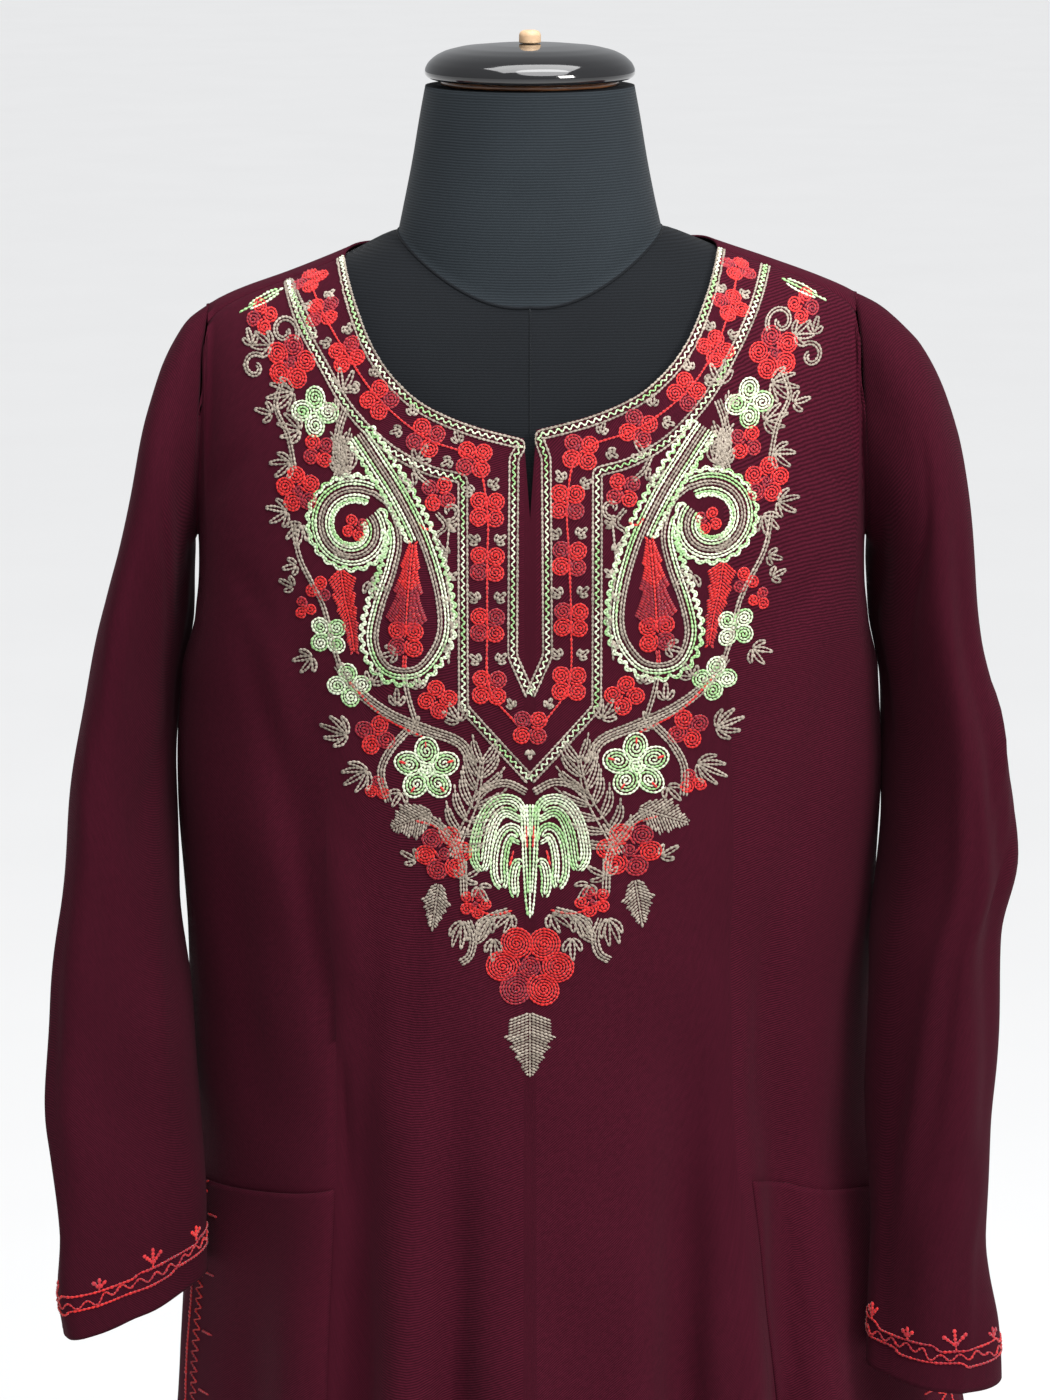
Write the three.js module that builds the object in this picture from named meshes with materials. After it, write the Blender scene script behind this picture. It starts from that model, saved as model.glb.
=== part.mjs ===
// Wine-coloured woollen pheran on a limbless dress form, which stands on a pole and a round base.
// Millimetres, +Z up. The garment's front faces -Y, and left is the side of negative X.
// The origin is the middle of the base's underside.

import * as THREE from 'three';
import { mergeVertices } from 'three/addons/utils/BufferGeometryUtils.js';

// Cloth
const WALL = 2;
const SEAM_GAP = 0.3;
const POCKET_WALL = 1.6;

// Heights of the garment
const HEM_HEIGHT = 360;
const CHEST_HEIGHT = 1195;
const UNDERARM_HEIGHT = 1238;
const POCKET_TOP = 868;
const POCKET_BOTTOM = 655;

// Cut of the neck and shoulders, as shares of the half width at the chest
const SIDE_NECK = 0.551;
const SHOULDER_TIP = 0.957;
const SLIT_EDGE = 0.0175;
const SLIT_DEPTH = 46;
const RIDGE_DEPTH = 6;
const SEAM_DEPTH = -10;
const BACK_NECK_DEPTH = 58;
const HOOP_ROUNDNESS = 2.1;
const BACK_NECK_ROUNDNESS = 2.4;
const ARMHOLE_WIDEST = 1300;

// Where the folds grow and fade, as shares of their length, and how closely they reach the side seams
const FOLD_GROWN = 0.6;
const FOLD_FADING = 0.5;
const FOLD_SIDE_POWER = 8;
const OUTWARD_LIMIT = 0.985;

// Grid of the cloth
const NECK_STEPS = 8;
const BACK_NECK_STEPS = 7;
const SHOULDER_STEPS = 4;
const ARMHOLE_STEPS = 6;
const YOKE_ROWS = 8;
const YOKE_EASE = 1.3;
const NECK_EASE = 0.85;
const BODY_ROWS = 5;
const POCKET_ROWS = 3;
const SKIRT_ROWS = 4;
const SLEEVE_ROWS = 19;
const SLEEVE_SIDES = 20;
const POCKET_LAST_STEP = 3;

// Dress form
const FORM_CLEARANCE = 1.2;
const FORM_BOTTOM = 765;
const FORM_SIDES = 30;
const FORM_SHOULDER_START = 148;
const FORM_SHOULDER_POWER = 4;
const NECK_HALF_WIDTH = 73;
const NECK_FRONT = -62;
const NECK_BACK = 52;
const NECK_TOP = 1489.5;
const FORM_CORNERS = 0.8;
const FORM_SHOULDER_TURNS = [14, 28, 42, 56, 68, 77, 84, 90];
const CAP_TOP = 1512;
const RIM_RADIUS = 49;
const RIM_HEIGHT = 3;
const POLE_RADIUS = 16;
const COLLAR_RADIUS = 32;
const COLLAR_STRAIGHT = 28;
const COLLAR_HEIGHT = 40;
const COLLAR_LIP = 5;
const BASE_HEIGHT = 16;
const TOUCH = 0.3;

// Sides of the turned pieces
const RIM_SIDES = 28;
const CAP_SIDES = 32;
const KNOB_SIDES = 16;
const POLE_SIDES = 20;
const COLLAR_SIDES = 24;
const BASE_SIDES = 40;

// Shares of the half width, and corners in millimetres, that are nearer than this are the same
const NEAR = 1e-6;
const SAME_CORNER = 1e-3;

// Body of the garment by height: half widths, the front's and back's furthest reach, the depth of the
// side seams, and how square the section is in its middle and how soft at its sides
const BODY = [
  { height: 360, left: 256, right: 297, front: -155, back: 148, seam: 28, square: 2.2, soft: 0.74 },
  { height: 480, left: 240, right: 287, front: -147, back: 139, seam: 28, square: 2.2, soft: 0.75 },
  { height: 600, left: 225, right: 277, front: -139, back: 130, seam: 28, square: 2.2, soft: 0.75 },
  { height: 700, left: 214, right: 264, front: -133, back: 122, seam: 27, square: 2.2, soft: 0.75 },
  { height: 800, left: 207, right: 238, front: -127, back: 114, seam: 24, square: 2.2, soft: 0.75 },
  { height: 900, left: 200, right: 206, front: -122, back: 106, seam: 20, square: 2.3, soft: 0.7 },
  { height: 1000, left: 200, right: 201, front: -119, back: 100, seam: 18, square: 2.4, soft: 0.64 },
  { height: 1080, left: 204, right: 203, front: -118, back: 98, seam: 15, square: 2.5, soft: 0.58 },
  { height: 1160, left: 199, right: 199, front: -116, back: 99, seam: 7, square: 2.7, soft: 0.53 },
  { height: 1195, left: 187, right: 189, front: -114, back: 99, seam: 0, square: 3, soft: 0.46 },
  { height: 1240, left: 187, right: 189, front: -111, back: 100, seam: 0, square: 3, soft: 0.45 },
];

// Ridge of the shoulders by distance from the middle
const RIDGE = [
  { out: 0, left: 1424, right: 1424 },
  { out: 73, left: 1413, right: 1415 },
  { out: 103, left: 1399, right: 1404 },
  { out: 133, left: 1387, right: 1394 },
  { out: 166, left: 1375, right: 1382 },
  { out: 181, left: 1367, right: 1375 },
  { out: 200, left: 1350, right: 1360 },
];

// Front neckline: share of the way from the middle to the side neck, and drop below the side neck
const NECKLINE = [
  { share: 0, drop: 88 },
  { share: 0.3, drop: 80.5 },
  { share: 0.55, drop: 70 },
  { share: 0.7, drop: 58 },
  { share: 0.82, drop: 43 },
  { share: 0.92, drop: 22 },
  { share: 1, drop: 0 },
];

// Largest folds: where each starts and ends, how far it drifts sideways, and its ridge (+) or trough (-)
const FRONT_FOLDS = [
  { at: -81, drift: -26, top: 1170, bottom: 360, width: 15, depth: -13 },
  { at: -60, drift: -22, top: 1080, bottom: 360, width: 17, depth: 12 },
  { at: -38, drift: -14, top: 1040, bottom: 360, width: 16, depth: -14 },
  { at: -5, drift: 2, top: 980, bottom: 360, width: 24, depth: 9 },
  { at: 32, drift: 12, top: 930, bottom: 360, width: 18, depth: -9 },
  { at: 56, drift: 16, top: 960, bottom: 360, width: 16, depth: 8 },
  { at: 84, drift: 24, top: 1040, bottom: 360, width: 19, depth: -18 },
  { at: 109, drift: 36, top: 1080, bottom: 360, width: 15, depth: 14 },
  { at: 129, drift: 44, top: 1100, bottom: 360, width: 13, depth: -12 },
  { at: 152, drift: 55, top: 1120, bottom: 360, width: 14, depth: 9 },
  { at: -118, drift: -40, top: 1000, bottom: 360, width: 16, depth: 10 },
  { at: -150, drift: -45, top: 950, bottom: 360, width: 15, depth: -8 },
  { at: -128, drift: 14, top: 1220, bottom: 1010, width: 14, depth: -6 },
];
const BACK_FOLDS = [
  { at: -132, drift: -42, top: 1120, bottom: 360, width: 18, depth: -12 },
  { at: -98, drift: -34, top: 1060, bottom: 360, width: 18, depth: 12 },
  { at: -62, drift: -22, top: 1130, bottom: 360, width: 16, depth: -15 },
  { at: -22, drift: -8, top: 1010, bottom: 360, width: 22, depth: 11 },
  { at: 18, drift: 6, top: 1090, bottom: 360, width: 15, depth: -11 },
  { at: 58, drift: 20, top: 1020, bottom: 360, width: 20, depth: 12 },
  { at: 97, drift: 36, top: 1110, bottom: 360, width: 17, depth: -15 },
  { at: 138, drift: 58, top: 1060, bottom: 360, width: 18, depth: 10 },
];

// Sleeves, ring by ring from the armhole to the cuff: the outer and inner edge seen from the front,
// the front's and back's reach, and how far the oval leans from square to the picture, in degrees
const SLEEVES = {
  left: [
    { outX: 191, outZ: 1360, inX: 189, inZ: 1235, front: -42, back: 39, lean: 0 },
    { outX: 204, outZ: 1338, inX: 190, inZ: 1230, front: -52, back: 45, lean: 6 },
    { outX: 212, outZ: 1313, inX: 190, inZ: 1222, front: -59, back: 50, lean: 13 },
    { outX: 220, outZ: 1275, inX: 191, inZ: 1208, front: -64, back: 53, lean: 20 },
    { outX: 231, outZ: 1232, inX: 193, inZ: 1186, front: -68, back: 54, lean: 26 },
    { outX: 244, outZ: 1177, inX: 201, inZ: 1146, front: -73, back: 51, lean: 27 },
    { outX: 255, outZ: 1118, inX: 204, inZ: 1096, front: -79, back: 43, lean: 24 },
    { outX: 263, outZ: 1050, inX: 202, inZ: 1032, front: -87, back: 30, lean: 20 },
    { outX: 271, outZ: 985, inX: 196, inZ: 972, front: -94, back: 16, lean: 19 },
    { outX: 274, outZ: 930, inX: 192, inZ: 920, front: -98, back: 3, lean: 24 },
    { outX: 271, outZ: 896, inX: 190, inZ: 890, front: -100, back: -4, lean: 27 },
    { outX: 268, outZ: 848, inX: 188, inZ: 852, front: -102, back: -12, lean: 31 },
    { outX: 270, outZ: 815, inX: 188, inZ: 828, front: -102, back: -15, lean: 33 },
    { outX: 268, outZ: 790, inX: 188, inZ: 808, front: -101, back: -17, lean: 35 },
  ],
  right: [
    { outX: 196, outZ: 1368, inX: 191, inZ: 1235, front: -42, back: 39, lean: 0 },
    { outX: 214, outZ: 1352, inX: 192, inZ: 1230, front: -52, back: 45, lean: 6 },
    { outX: 231, outZ: 1320, inX: 192, inZ: 1222, front: -60, back: 50, lean: 12 },
    { outX: 241, outZ: 1286, inX: 193, inZ: 1208, front: -65, back: 53, lean: 18 },
    { outX: 246, outZ: 1235, inX: 195, inZ: 1186, front: -69, back: 53, lean: 24 },
    { outX: 252, outZ: 1188, inX: 201, inZ: 1150, front: -73, back: 50, lean: 24 },
    { outX: 269, outZ: 1120, inX: 203, inZ: 1096, front: -80, back: 41, lean: 22 },
    { outX: 275, outZ: 1066, inX: 200, inZ: 1045, front: -88, back: 29, lean: 16 },
    { outX: 267, outZ: 1018, inX: 195, inZ: 1000, front: -94, back: 18, lean: 12 },
    { outX: 266, outZ: 950, inX: 193, inZ: 938, front: -101, back: 0, lean: 11 },
    { outX: 263, outZ: 905, inX: 194, inZ: 896, front: -105, back: -12, lean: 11 },
    { outX: 260, outZ: 848, inX: 195, inZ: 842, front: -109, back: -26, lean: 9 },
    { outX: 268, outZ: 795, inX: 195, inZ: 792, front: -112, back: -38, lean: 6 },
    { outX: 271, outZ: 762, inX: 194, inZ: 768, front: -113, back: -42, lean: 4 },
  ],
};

// Creases of the sleeves: position round the oval in degrees (0 outer edge, 90 front), turn on the way
// down, the share of the sleeve's length where each starts and ends, width in degrees, and depth
const SLEEVE_CREASES = {
  left: [
    { at: 42, turn: 14, start: 0.55, end: 1.2, width: 20, depth: 5 },
    { at: 88, turn: 10, start: 0.3, end: 0.9, width: 26, depth: -5 },
    { at: 150, turn: -10, start: 0.02, end: 0.4, width: 24, depth: -5 },
    { at: 262, turn: 12, start: 0.25, end: 1.1, width: 26, depth: -6 },
    { at: 320, turn: -14, start: 0.4, end: 0.9, width: 22, depth: -4 },
  ],
  right: [
    { at: 55, turn: -18, start: 0.25, end: 0.82, width: 16, depth: -7 },
    { at: 84, turn: -16, start: 0.2, end: 0.85, width: 18, depth: 5 },
    { at: 120, turn: 20, start: 0.6, end: 1.1, width: 24, depth: -4 },
    { at: 150, turn: -10, start: 0.02, end: 0.4, width: 24, depth: -5 },
    { at: 275, turn: -14, start: 0.3, end: 1.1, width: 26, depth: -6 },
  ],
};

// Dress form's torso by height: half width, and the front's and back's reach
const TORSO = [
  { height: 765, half: 150, front: -84, back: 82 },
  { height: 785, half: 160, front: -90, back: 88 },
  { height: 830, half: 165, front: -93, back: 90 },
  { height: 900, half: 152, front: -90, back: 82 },
  { height: 1010, half: 122, front: -82, back: 74 },
  { height: 1100, half: 149, front: -100, back: 80 },
  { height: 1150, half: 164, front: -107, back: 85 },
  { height: 1195, half: 174, front: -104, back: 88 },
];
const TORSO_SQUARE = 3;
const TORSO_SOFT = 0.47;

// Dress form's neck above its base seam
const NECK = [
  { height: 1426, half: 69.5, front: -60, back: 50, dip: 18 },
  { height: 1448, half: 65, front: -56.5, back: 49, dip: 8 },
  { height: 1474, half: 60.5, front: -55, back: 51, dip: 0 },
  { height: NECK_TOP, half: 57.5, front: -55, back: 53, dip: 0 },
];

// Profiles of the turned pieces: radius, and height above the piece's underside
const CAP_PROFILE = [
  { radius: 55, height: 0 },
  { radius: 58, height: 3 },
  { radius: 56.5, height: 8 },
  { radius: 48, height: 14.9 },
  { radius: 34, height: 17.9 },
  { radius: 0, height: 18.9 },
];
const KNOB_PROFILE = [
  { radius: 6, height: 0 },
  { radius: 6, height: 5 },
  { radius: 4, height: 7 },
  { radius: 0, height: 7 },
];
const BASE_PROFILE = [
  { radius: 188, height: 0 },
  { radius: 190, height: 2 },
  { radius: 190, height: 7 },
  { radius: 178, height: 12 },
  { radius: 80, height: BASE_HEIGHT },
  { radius: 0, height: BASE_HEIGHT },
];

const COLOURS = {
  wool: { color: 0x3e1222, roughness: 0.92, metalness: 0 },
  jersey: { color: 0x14181b, roughness: 0.85, metalness: 0 },
  lacquer: { color: 0x0b0b0c, roughness: 0.15, metalness: 0 },
  wood: { color: 0x5a3218, roughness: 0.4, metalness: 0 },
  knob: { color: 0xc9a27a, roughness: 0.6, metalness: 0 },
  metal: { color: 0x1a1a1c, roughness: 0.4, metalness: 0.6 },
};

const radians = THREE.MathUtils.degToRad;
const clamp = THREE.MathUtils.clamp;
const lerp = THREE.MathUtils.lerp;
const smoothstep = THREE.MathUtils.smoothstep;

// A smooth curve through one column of a table, with no overshoot between its rows
function through(rows, key, column) {
  const xs = rows.map((row) => row[key]);
  const ys = rows.map((row) => row[column]);
  const last = rows.length - 1;
  const rises = [];
  for (let i = 0; i < last; i += 1) {
    rises.push((ys[i + 1] - ys[i]) / (xs[i + 1] - xs[i]));
  }
  const slopes = rows.map((row, i) => {
    if (i === 0) return rises[0];
    if (i === last) return rises[last - 1];
    const before = rises[i - 1];
    const after = rises[i];
    return before * after <= 0 ? 0 : (2 * before * after) / (before + after);
  });
  return (x) => {
    const at = clamp(x, xs[0], xs[last]);
    let i = 0;
    while (i < last - 1 && at > xs[i + 1]) i += 1;
    const span = xs[i + 1] - xs[i];
    const t = (at - xs[i]) / span;
    const even = 2 * t ** 3 - 3 * t ** 2 + 1;
    const first = (t ** 3 - 2 * t ** 2 + t) * span * slopes[i];
    const second = (t ** 3 - t ** 2) * span * slopes[i + 1];
    return ys[i] * even + first + ys[i + 1] * (1 - even) + second;
  };
}

const body = {};
for (const column of ['left', 'right', 'front', 'back', 'seam', 'square', 'soft']) {
  body[column] = through(BODY, 'height', column);
}
const ridge = { left: through(RIDGE, 'out', 'left'), right: through(RIDGE, 'out', 'right') };
const neckDrop = through(NECKLINE, 'share', 'drop');
// The side of a distance from the middle, or of a sign
const sideOf = (x) => (x < 0 ? 'left' : 'right');
const halfWidth = (x, height) => body[sideOf(x)](height);

// Depth of the plain section, without folds
function sectionDepth(face, x, height) {
  const share = clamp(Math.abs(x) / halfWidth(x, height), 0, 1);
  const seam = body.seam(height);
  const reach = body[face < 0 ? 'front' : 'back'](height) - seam;
  return seam + reach * (1 - share ** body.square(height)) ** body.soft(height);
}

// How far the folds push a place outwards
function foldPush(face, x, height) {
  const share = Math.abs(x) / halfWidth(x, height);
  const nearSeam = clamp(1 - share ** FOLD_SIDE_POWER, 0, 1);
  let push = 0;
  for (const fold of face < 0 ? FRONT_FOLDS : BACK_FOLDS) {
    const down = (fold.top - height) / (fold.top - fold.bottom);
    if (down <= 0) continue;
    const middle = fold.at + fold.drift * down;
    const bell = Math.exp(-(((x - middle) / fold.width) ** 2));
    const growth = smoothstep(down, 0, FOLD_GROWN);
    const fade = fold.bottom > HEM_HEIGHT ? 1 - smoothstep(down, FOLD_FADING, 1) : 1;
    push += fold.depth * bell * growth * fade;
  }
  return push * nearSeam;
}

// The level direction out of the body's plain section
function bodyOutward(face, x, height) {
  const limit = OUTWARD_LIMIT * halfWidth(x, height);
  const near = clamp(x, -limit, limit);
  const before = sectionDepth(face, near - 1, height);
  const after = sectionDepth(face, near + 1, height);
  const slope = (after - before) / 2;
  return new THREE.Vector3(-slope * face, face, 0).normalize();
}

// A place on the body's outer surface, below the yoke
function bodyPoint(face, x, height) {
  const point = new THREE.Vector3(x, sectionDepth(face, x, height), height);
  return point.addScaledVector(bodyOutward(face, x, height), foldPush(face, x, height));
}

// The hoop over the shoulder at x: a quarter oval each way from the ridge down to the chest
function hoop(face, x) {
  const rise = ridge[sideOf(x)](Math.abs(x)) - CHEST_HEIGHT;
  const reach = Math.abs(sectionDepth(face, x, CHEST_HEIGHT) - RIDGE_DEPTH);
  return { rise, reach };
}

// How far round the hoop a depth or a height lies: 0 on the ridge, less towards the front, more to the back
function turnAtDepth(x, depth) {
  const face = depth < RIDGE_DEPTH ? -1 : 1;
  const share = clamp(Math.abs(depth - RIDGE_DEPTH) / hoop(face, x).reach, 0, 1);
  return face * Math.asin(share ** (HOOP_ROUNDNESS / 2));
}

function turnAtHeight(face, x, height) {
  return face * Math.acos(clamp((height - CHEST_HEIGHT) / hoop(face, x).rise, 0, 1));
}

function hoopPoint(x, turn) {
  const face = turn < 0 ? -1 : 1;
  const { rise, reach } = hoop(face, x);
  const depth = RIDGE_DEPTH + face * reach * Math.sin(Math.abs(turn)) ** (2 / HOOP_ROUNDNESS);
  return new THREE.Vector3(x, depth, CHEST_HEIGHT + rise * Math.cos(turn));
}

// The armhole's loop, which is flat: angle 0 on the ridge, 90 degrees at the front, 180 at the underarm
function armholeLoop(side) {
  const sign = side === 'left' ? -1 : 1;
  const tipX = sign * SHOULDER_TIP * body[side](CHEST_HEIGHT);
  const underarmX = sign * body[side](UNDERARM_HEIGHT);
  const top = hoopPoint(tipX, 0).z;
  const flatX = (height) => lerp(tipX, underarmX, (top - height) / (top - UNDERARM_HEIGHT));
  const hub = new THREE.Vector3(flatX(ARMHOLE_WIDEST), 0, ARMHOLE_WIDEST);
  const at = (angle, shift) => {
    const face = Math.sin(angle) > 0 ? -1 : 1;
    const round = Math.acos(clamp(Math.cos(angle), -1, 1));
    const widest = turnAtHeight(face, tipX, ARMHOLE_WIDEST);
    let place = hoopPoint(tipX, (widest * round) / (Math.PI / 2));
    if (round > Math.PI / 2) {
      const past = round - Math.PI / 2;
      const depth = hoopPoint(tipX, widest).y * Math.cos(past);
      place = new THREE.Vector3(0, depth, lerp(ARMHOLE_WIDEST, UNDERARM_HEIGHT, Math.sin(past)));
    }
    place.x = flatX(place.z);
    const outward = place.clone().sub(hub).normalize();
    place.x += sign * shift;
    return { place, outward };
  };
  const seamTurn = turnAtDepth(tipX, SEAM_DEPTH) / turnAtHeight(-1, tipX, ARMHOLE_WIDEST);
  return { at, seamAngle: (seamTurn * Math.PI) / 2 };
}
const armholes = { left: armholeLoop('left'), right: armholeLoop('right') };

// A column of the yoke at x, from its top edge along the hoop to the chest
function hoopColumn(x, start, end) {
  const points = [];
  for (let row = 0; row < YOKE_ROWS; row += 1) {
    points.push(hoopPoint(x, lerp(start, end, (row / YOKE_ROWS) ** YOKE_EASE)));
  }
  return points;
}

// A column of the yoke below the armhole's edge, which swings from the armhole down to the side
function armholeColumn(place, foot) {
  const points = [];
  for (let row = 0; row < YOKE_ROWS; row += 1) {
    const turn = (row / YOKE_ROWS) * (Math.PI / 2);
    points.push(new THREE.Vector3(
      lerp(place.x, foot.x, 1 - Math.cos(turn)),
      lerp(place.y, foot.y, Math.sin(turn)),
      lerp(foot.z, place.z, Math.cos(turn)),
    ));
  }
  return points;
}

// Where a column of the neck starts on its hoop
function neckTurn(face, sign, x, share) {
  const along = share / SIDE_NECK;
  if (face < 0) {
    const sideX = sign * SIDE_NECK * body[sideOf(sign)](CHEST_HEIGHT);
    const sideNeck = hoopPoint(sideX, turnAtDepth(sideX, SEAM_DEPTH)).z;
    const drop = neckDrop(along) + (share === 0 ? SLIT_DEPTH : 0);
    return turnAtHeight(face, x, sideNeck - drop);
  }
  const curve = Math.sqrt(1 - along ** BACK_NECK_ROUNDNESS);
  return turnAtDepth(x, lerp(SEAM_DEPTH, BACK_NECK_DEPTH, curve));
}

// One column of a panel, from its top edge to the hem. The share runs from the middle to the side seam
function column(face, sign, share, armholeStep) {
  const side = sideOf(sign);
  const chestX = sign * share * body[side](CHEST_HEIGHT);
  const isSide = share === 1;
  let points;
  let outwards = [];
  if (armholeStep > 0) {
    const armhole = armholes[side];
    const angle = lerp(armhole.seamAngle, -face * Math.PI, armholeStep / ARMHOLE_STEPS);
    const { place, outward } = armhole.at(angle, -SEAM_GAP / 2);
    points = armholeColumn(place, bodyPoint(face, chestX, CHEST_HEIGHT));
    const sideOutward = new THREE.Vector3(sign, 0, 0);
    const footOutward = isSide ? sideOutward : bodyOutward(face, chestX, CHEST_HEIGHT);
    outwards = points.map((point, row) => {
      const blend = Math.sin((row / YOKE_ROWS) * (Math.PI / 2));
      return outward.clone().lerp(footOutward, blend).normalize();
    });
  } else if (share < SIDE_NECK - NEAR) {
    points = hoopColumn(chestX, neckTurn(face, sign, chestX, share), (face * Math.PI) / 2);
  } else {
    points = hoopColumn(chestX, turnAtDepth(chestX, SEAM_DEPTH), (face * Math.PI) / 2);
    points[0].y += (face * SEAM_GAP) / 2;
    outwards = [new THREE.Vector3(0, 0, 1)];
    if (share === SHOULDER_TIP) points[0].x -= (sign * SEAM_GAP) / 2;
  }
  for (const height of rowHeights) {
    points.push(bodyPoint(face, sign * share * body[side](height), height));
  }
  if (isSide) {
    for (const point of points) point.y += (face * SEAM_GAP) / 2;
  }
  return { points, outwards, isSide, sign };
}

// Heights of the rows below the yoke, which meet the pockets' top and bottom
const rowHeights = [];
const stretches = [
  { from: CHEST_HEIGHT, to: POCKET_TOP, rows: BODY_ROWS },
  { from: POCKET_TOP, to: POCKET_BOTTOM, rows: POCKET_ROWS },
  { from: POCKET_BOTTOM, to: HEM_HEIGHT, rows: SKIRT_ROWS },
];
for (const stretch of stretches) {
  for (let row = 0; row < stretch.rows; row += 1) {
    rowHeights.push(lerp(stretch.from, stretch.to, row / stretch.rows));
  }
}
rowHeights.push(HEM_HEIGHT);

// Shares of the half width where the columns run, with the armhole step of those that start there
function columnShares(neckSteps, withSlit) {
  const shares = [{ share: 0, armholeStep: 0 }];
  for (let step = withSlit ? 0 : 1; step < neckSteps; step += 1) {
    const start = withSlit ? SLIT_EDGE : 0;
    const along = Math.sin((Math.PI / 2) * (step / neckSteps)) ** NECK_EASE;
    shares.push({ share: lerp(start, SIDE_NECK, along), armholeStep: 0 });
  }
  for (let step = 0; step < SHOULDER_STEPS; step += 1) {
    shares.push({ share: lerp(SIDE_NECK, SHOULDER_TIP, step / SHOULDER_STEPS), armholeStep: 0 });
  }
  shares.push({ share: SHOULDER_TIP, armholeStep: 0 });
  const tipAngle = Math.asin(SHOULDER_TIP);
  for (let step = 1; step < ARMHOLE_STEPS; step += 1) {
    const angle = lerp(tipAngle, Math.PI / 2, step / ARMHOLE_STEPS);
    shares.push({ share: Math.sin(angle), armholeStep: step });
  }
  shares.push({ share: 1, armholeStep: ARMHOLE_STEPS });
  return shares;
}

// All columns of a panel, from the left side seam to the right one
function panelColumns(face, neckSteps) {
  const shares = columnShares(neckSteps, face < 0);
  const left = shares.slice(1).reverse().map((s) => column(face, -1, s.share, s.armholeStep));
  const middle = column(face, 1, 0, 0);
  const right = shares.slice(1).map((s) => column(face, 1, s.share, s.armholeStep));
  return [...left, middle, ...right];
}

// Outward normals of a grid of points, each the mean of the faces round it by their area.
// Turn is 1 or -1 to make them point out of the garment
function gridNormals(grid, turn, closed) {
  const count = grid.length;
  const rows = grid[0].length;
  const normals = grid.map((line) => line.map(() => new THREE.Vector3()));
  const lines = closed ? count : count - 1;
  for (let i = 0; i < lines; i += 1) {
    const next = (i + 1) % count;
    for (let j = 0; j < rows - 1; j += 1) {
      const across = grid[next][j + 1].clone().sub(grid[i][j]);
      const down = grid[i][j + 1].clone().sub(grid[next][j]);
      const normal = across.cross(down).multiplyScalar(turn);
      for (const [a, b] of [[i, j], [next, j], [i, j + 1], [next, j + 1]]) {
        normals[a][b].add(normal);
      }
    }
  }
  for (const normal of normals.flat()) normal.normalize();
  return normals;
}

// Closed wall between two grids of points, whose columns may close on themselves.
// Each square is split along its shorter diagonal, the same way on both faces
function wallGeometry(outer, inner, turn, closed) {
  const count = outer.length;
  const rows = outer[0].length;
  const positions = [...outer.flat(), ...inner.flat()].flatMap((p) => p.toArray());
  const index = (layer, i, j) => layer * count * rows + (i % count) * rows + j;
  const triangles = [];
  const quad = (a, b, c, d) => {
    if (turn > 0) triangles.push(a, b, c, a, c, d);
    else triangles.push(a, c, b, a, d, c);
  };
  const lines = closed ? count : count - 1;
  for (let i = 0; i < lines; i += 1) {
    for (let j = 0; j < rows - 1; j += 1) {
      const next = (i + 1) % count;
      const falling = outer[i][j].distanceTo(outer[next][j + 1]);
      const rising = outer[next][j].distanceTo(outer[i][j + 1]);
      const isFalling = falling < rising;
      const outside = [index(0, i, j), index(0, i + 1, j), index(0, i + 1, j + 1), index(0, i, j + 1)];
      const inside = [index(1, i, j), index(1, i, j + 1), index(1, i + 1, j + 1), index(1, i + 1, j)];
      for (const [a, b, c, d] of [outside, inside]) {
        if (isFalling) quad(a, b, c, d);
        else quad(b, c, d, a);
      }
    }
    quad(index(0, i, 0), index(1, i, 0), index(1, i + 1, 0), index(0, i + 1, 0));
    const end = rows - 1;
    quad(index(0, i, end), index(0, i + 1, end), index(1, i + 1, end), index(1, i, end));
  }
  if (!closed) {
    for (let j = 0; j < rows - 1; j += 1) {
      quad(index(0, 0, j), index(0, 0, j + 1), index(1, 0, j + 1), index(1, 0, j));
      const end = count - 1;
      quad(index(0, end, j), index(1, end, j), index(1, end, j + 1), index(0, end, j + 1));
    }
  }
  const geometry = new THREE.BufferGeometry();
  geometry.setAttribute('position', new THREE.Float32BufferAttribute(positions, 3));
  geometry.setIndex(triangles);
  return geometry;
}

// The points of a grid moved along their normals
function moved(grid, normals, distance) {
  const move = (point, normal) => point.clone().addScaledVector(normal, distance);
  return grid.map((line, i) => line.map((point, j) => move(point, normals[i][j])));
}

// A front or back panel: its outer grid, its normals and its wall
function panel(face, neckSteps) {
  const columns = panelColumns(face, neckSteps);
  const outer = columns.map((c) => c.points);
  const normals = gridNormals(outer, face, false);
  columns.forEach((c, i) => {
    if (c.isSide) normals[i].forEach((normal) => normal.set(c.sign, 0, 0));
    c.outwards.forEach((outward, j) => normals[i][j].copy(outward));
  });
  const geometry = wallGeometry(outer, moved(outer, normals, -WALL), face, false);
  return { outer, normals, geometry };
}

// A patch pocket on the front panel, from the front's own points moved out
function pocket(front, side) {
  const half = (front.outer.length - 1) / 2;
  const first = half + NECK_STEPS + 1;
  const last = first + SHOULDER_STEPS + POCKET_LAST_STEP;
  const from = side === 'left' ? front.outer.length - 1 - last : first;
  const to = side === 'left' ? front.outer.length - 1 - first : last;
  const topRow = YOKE_ROWS + BODY_ROWS;
  const cutColumn = (line) => line.slice(topRow, topRow + POCKET_ROWS + 1);
  const points = front.outer.slice(from, to + 1).map(cutColumn);
  const normals = front.normals.slice(from, to + 1).map(cutColumn);
  const outer = moved(points, normals, SEAM_GAP + POCKET_WALL);
  const inner = moved(points, normals, SEAM_GAP);
  return wallGeometry(outer, inner, -1, false);
}

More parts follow.
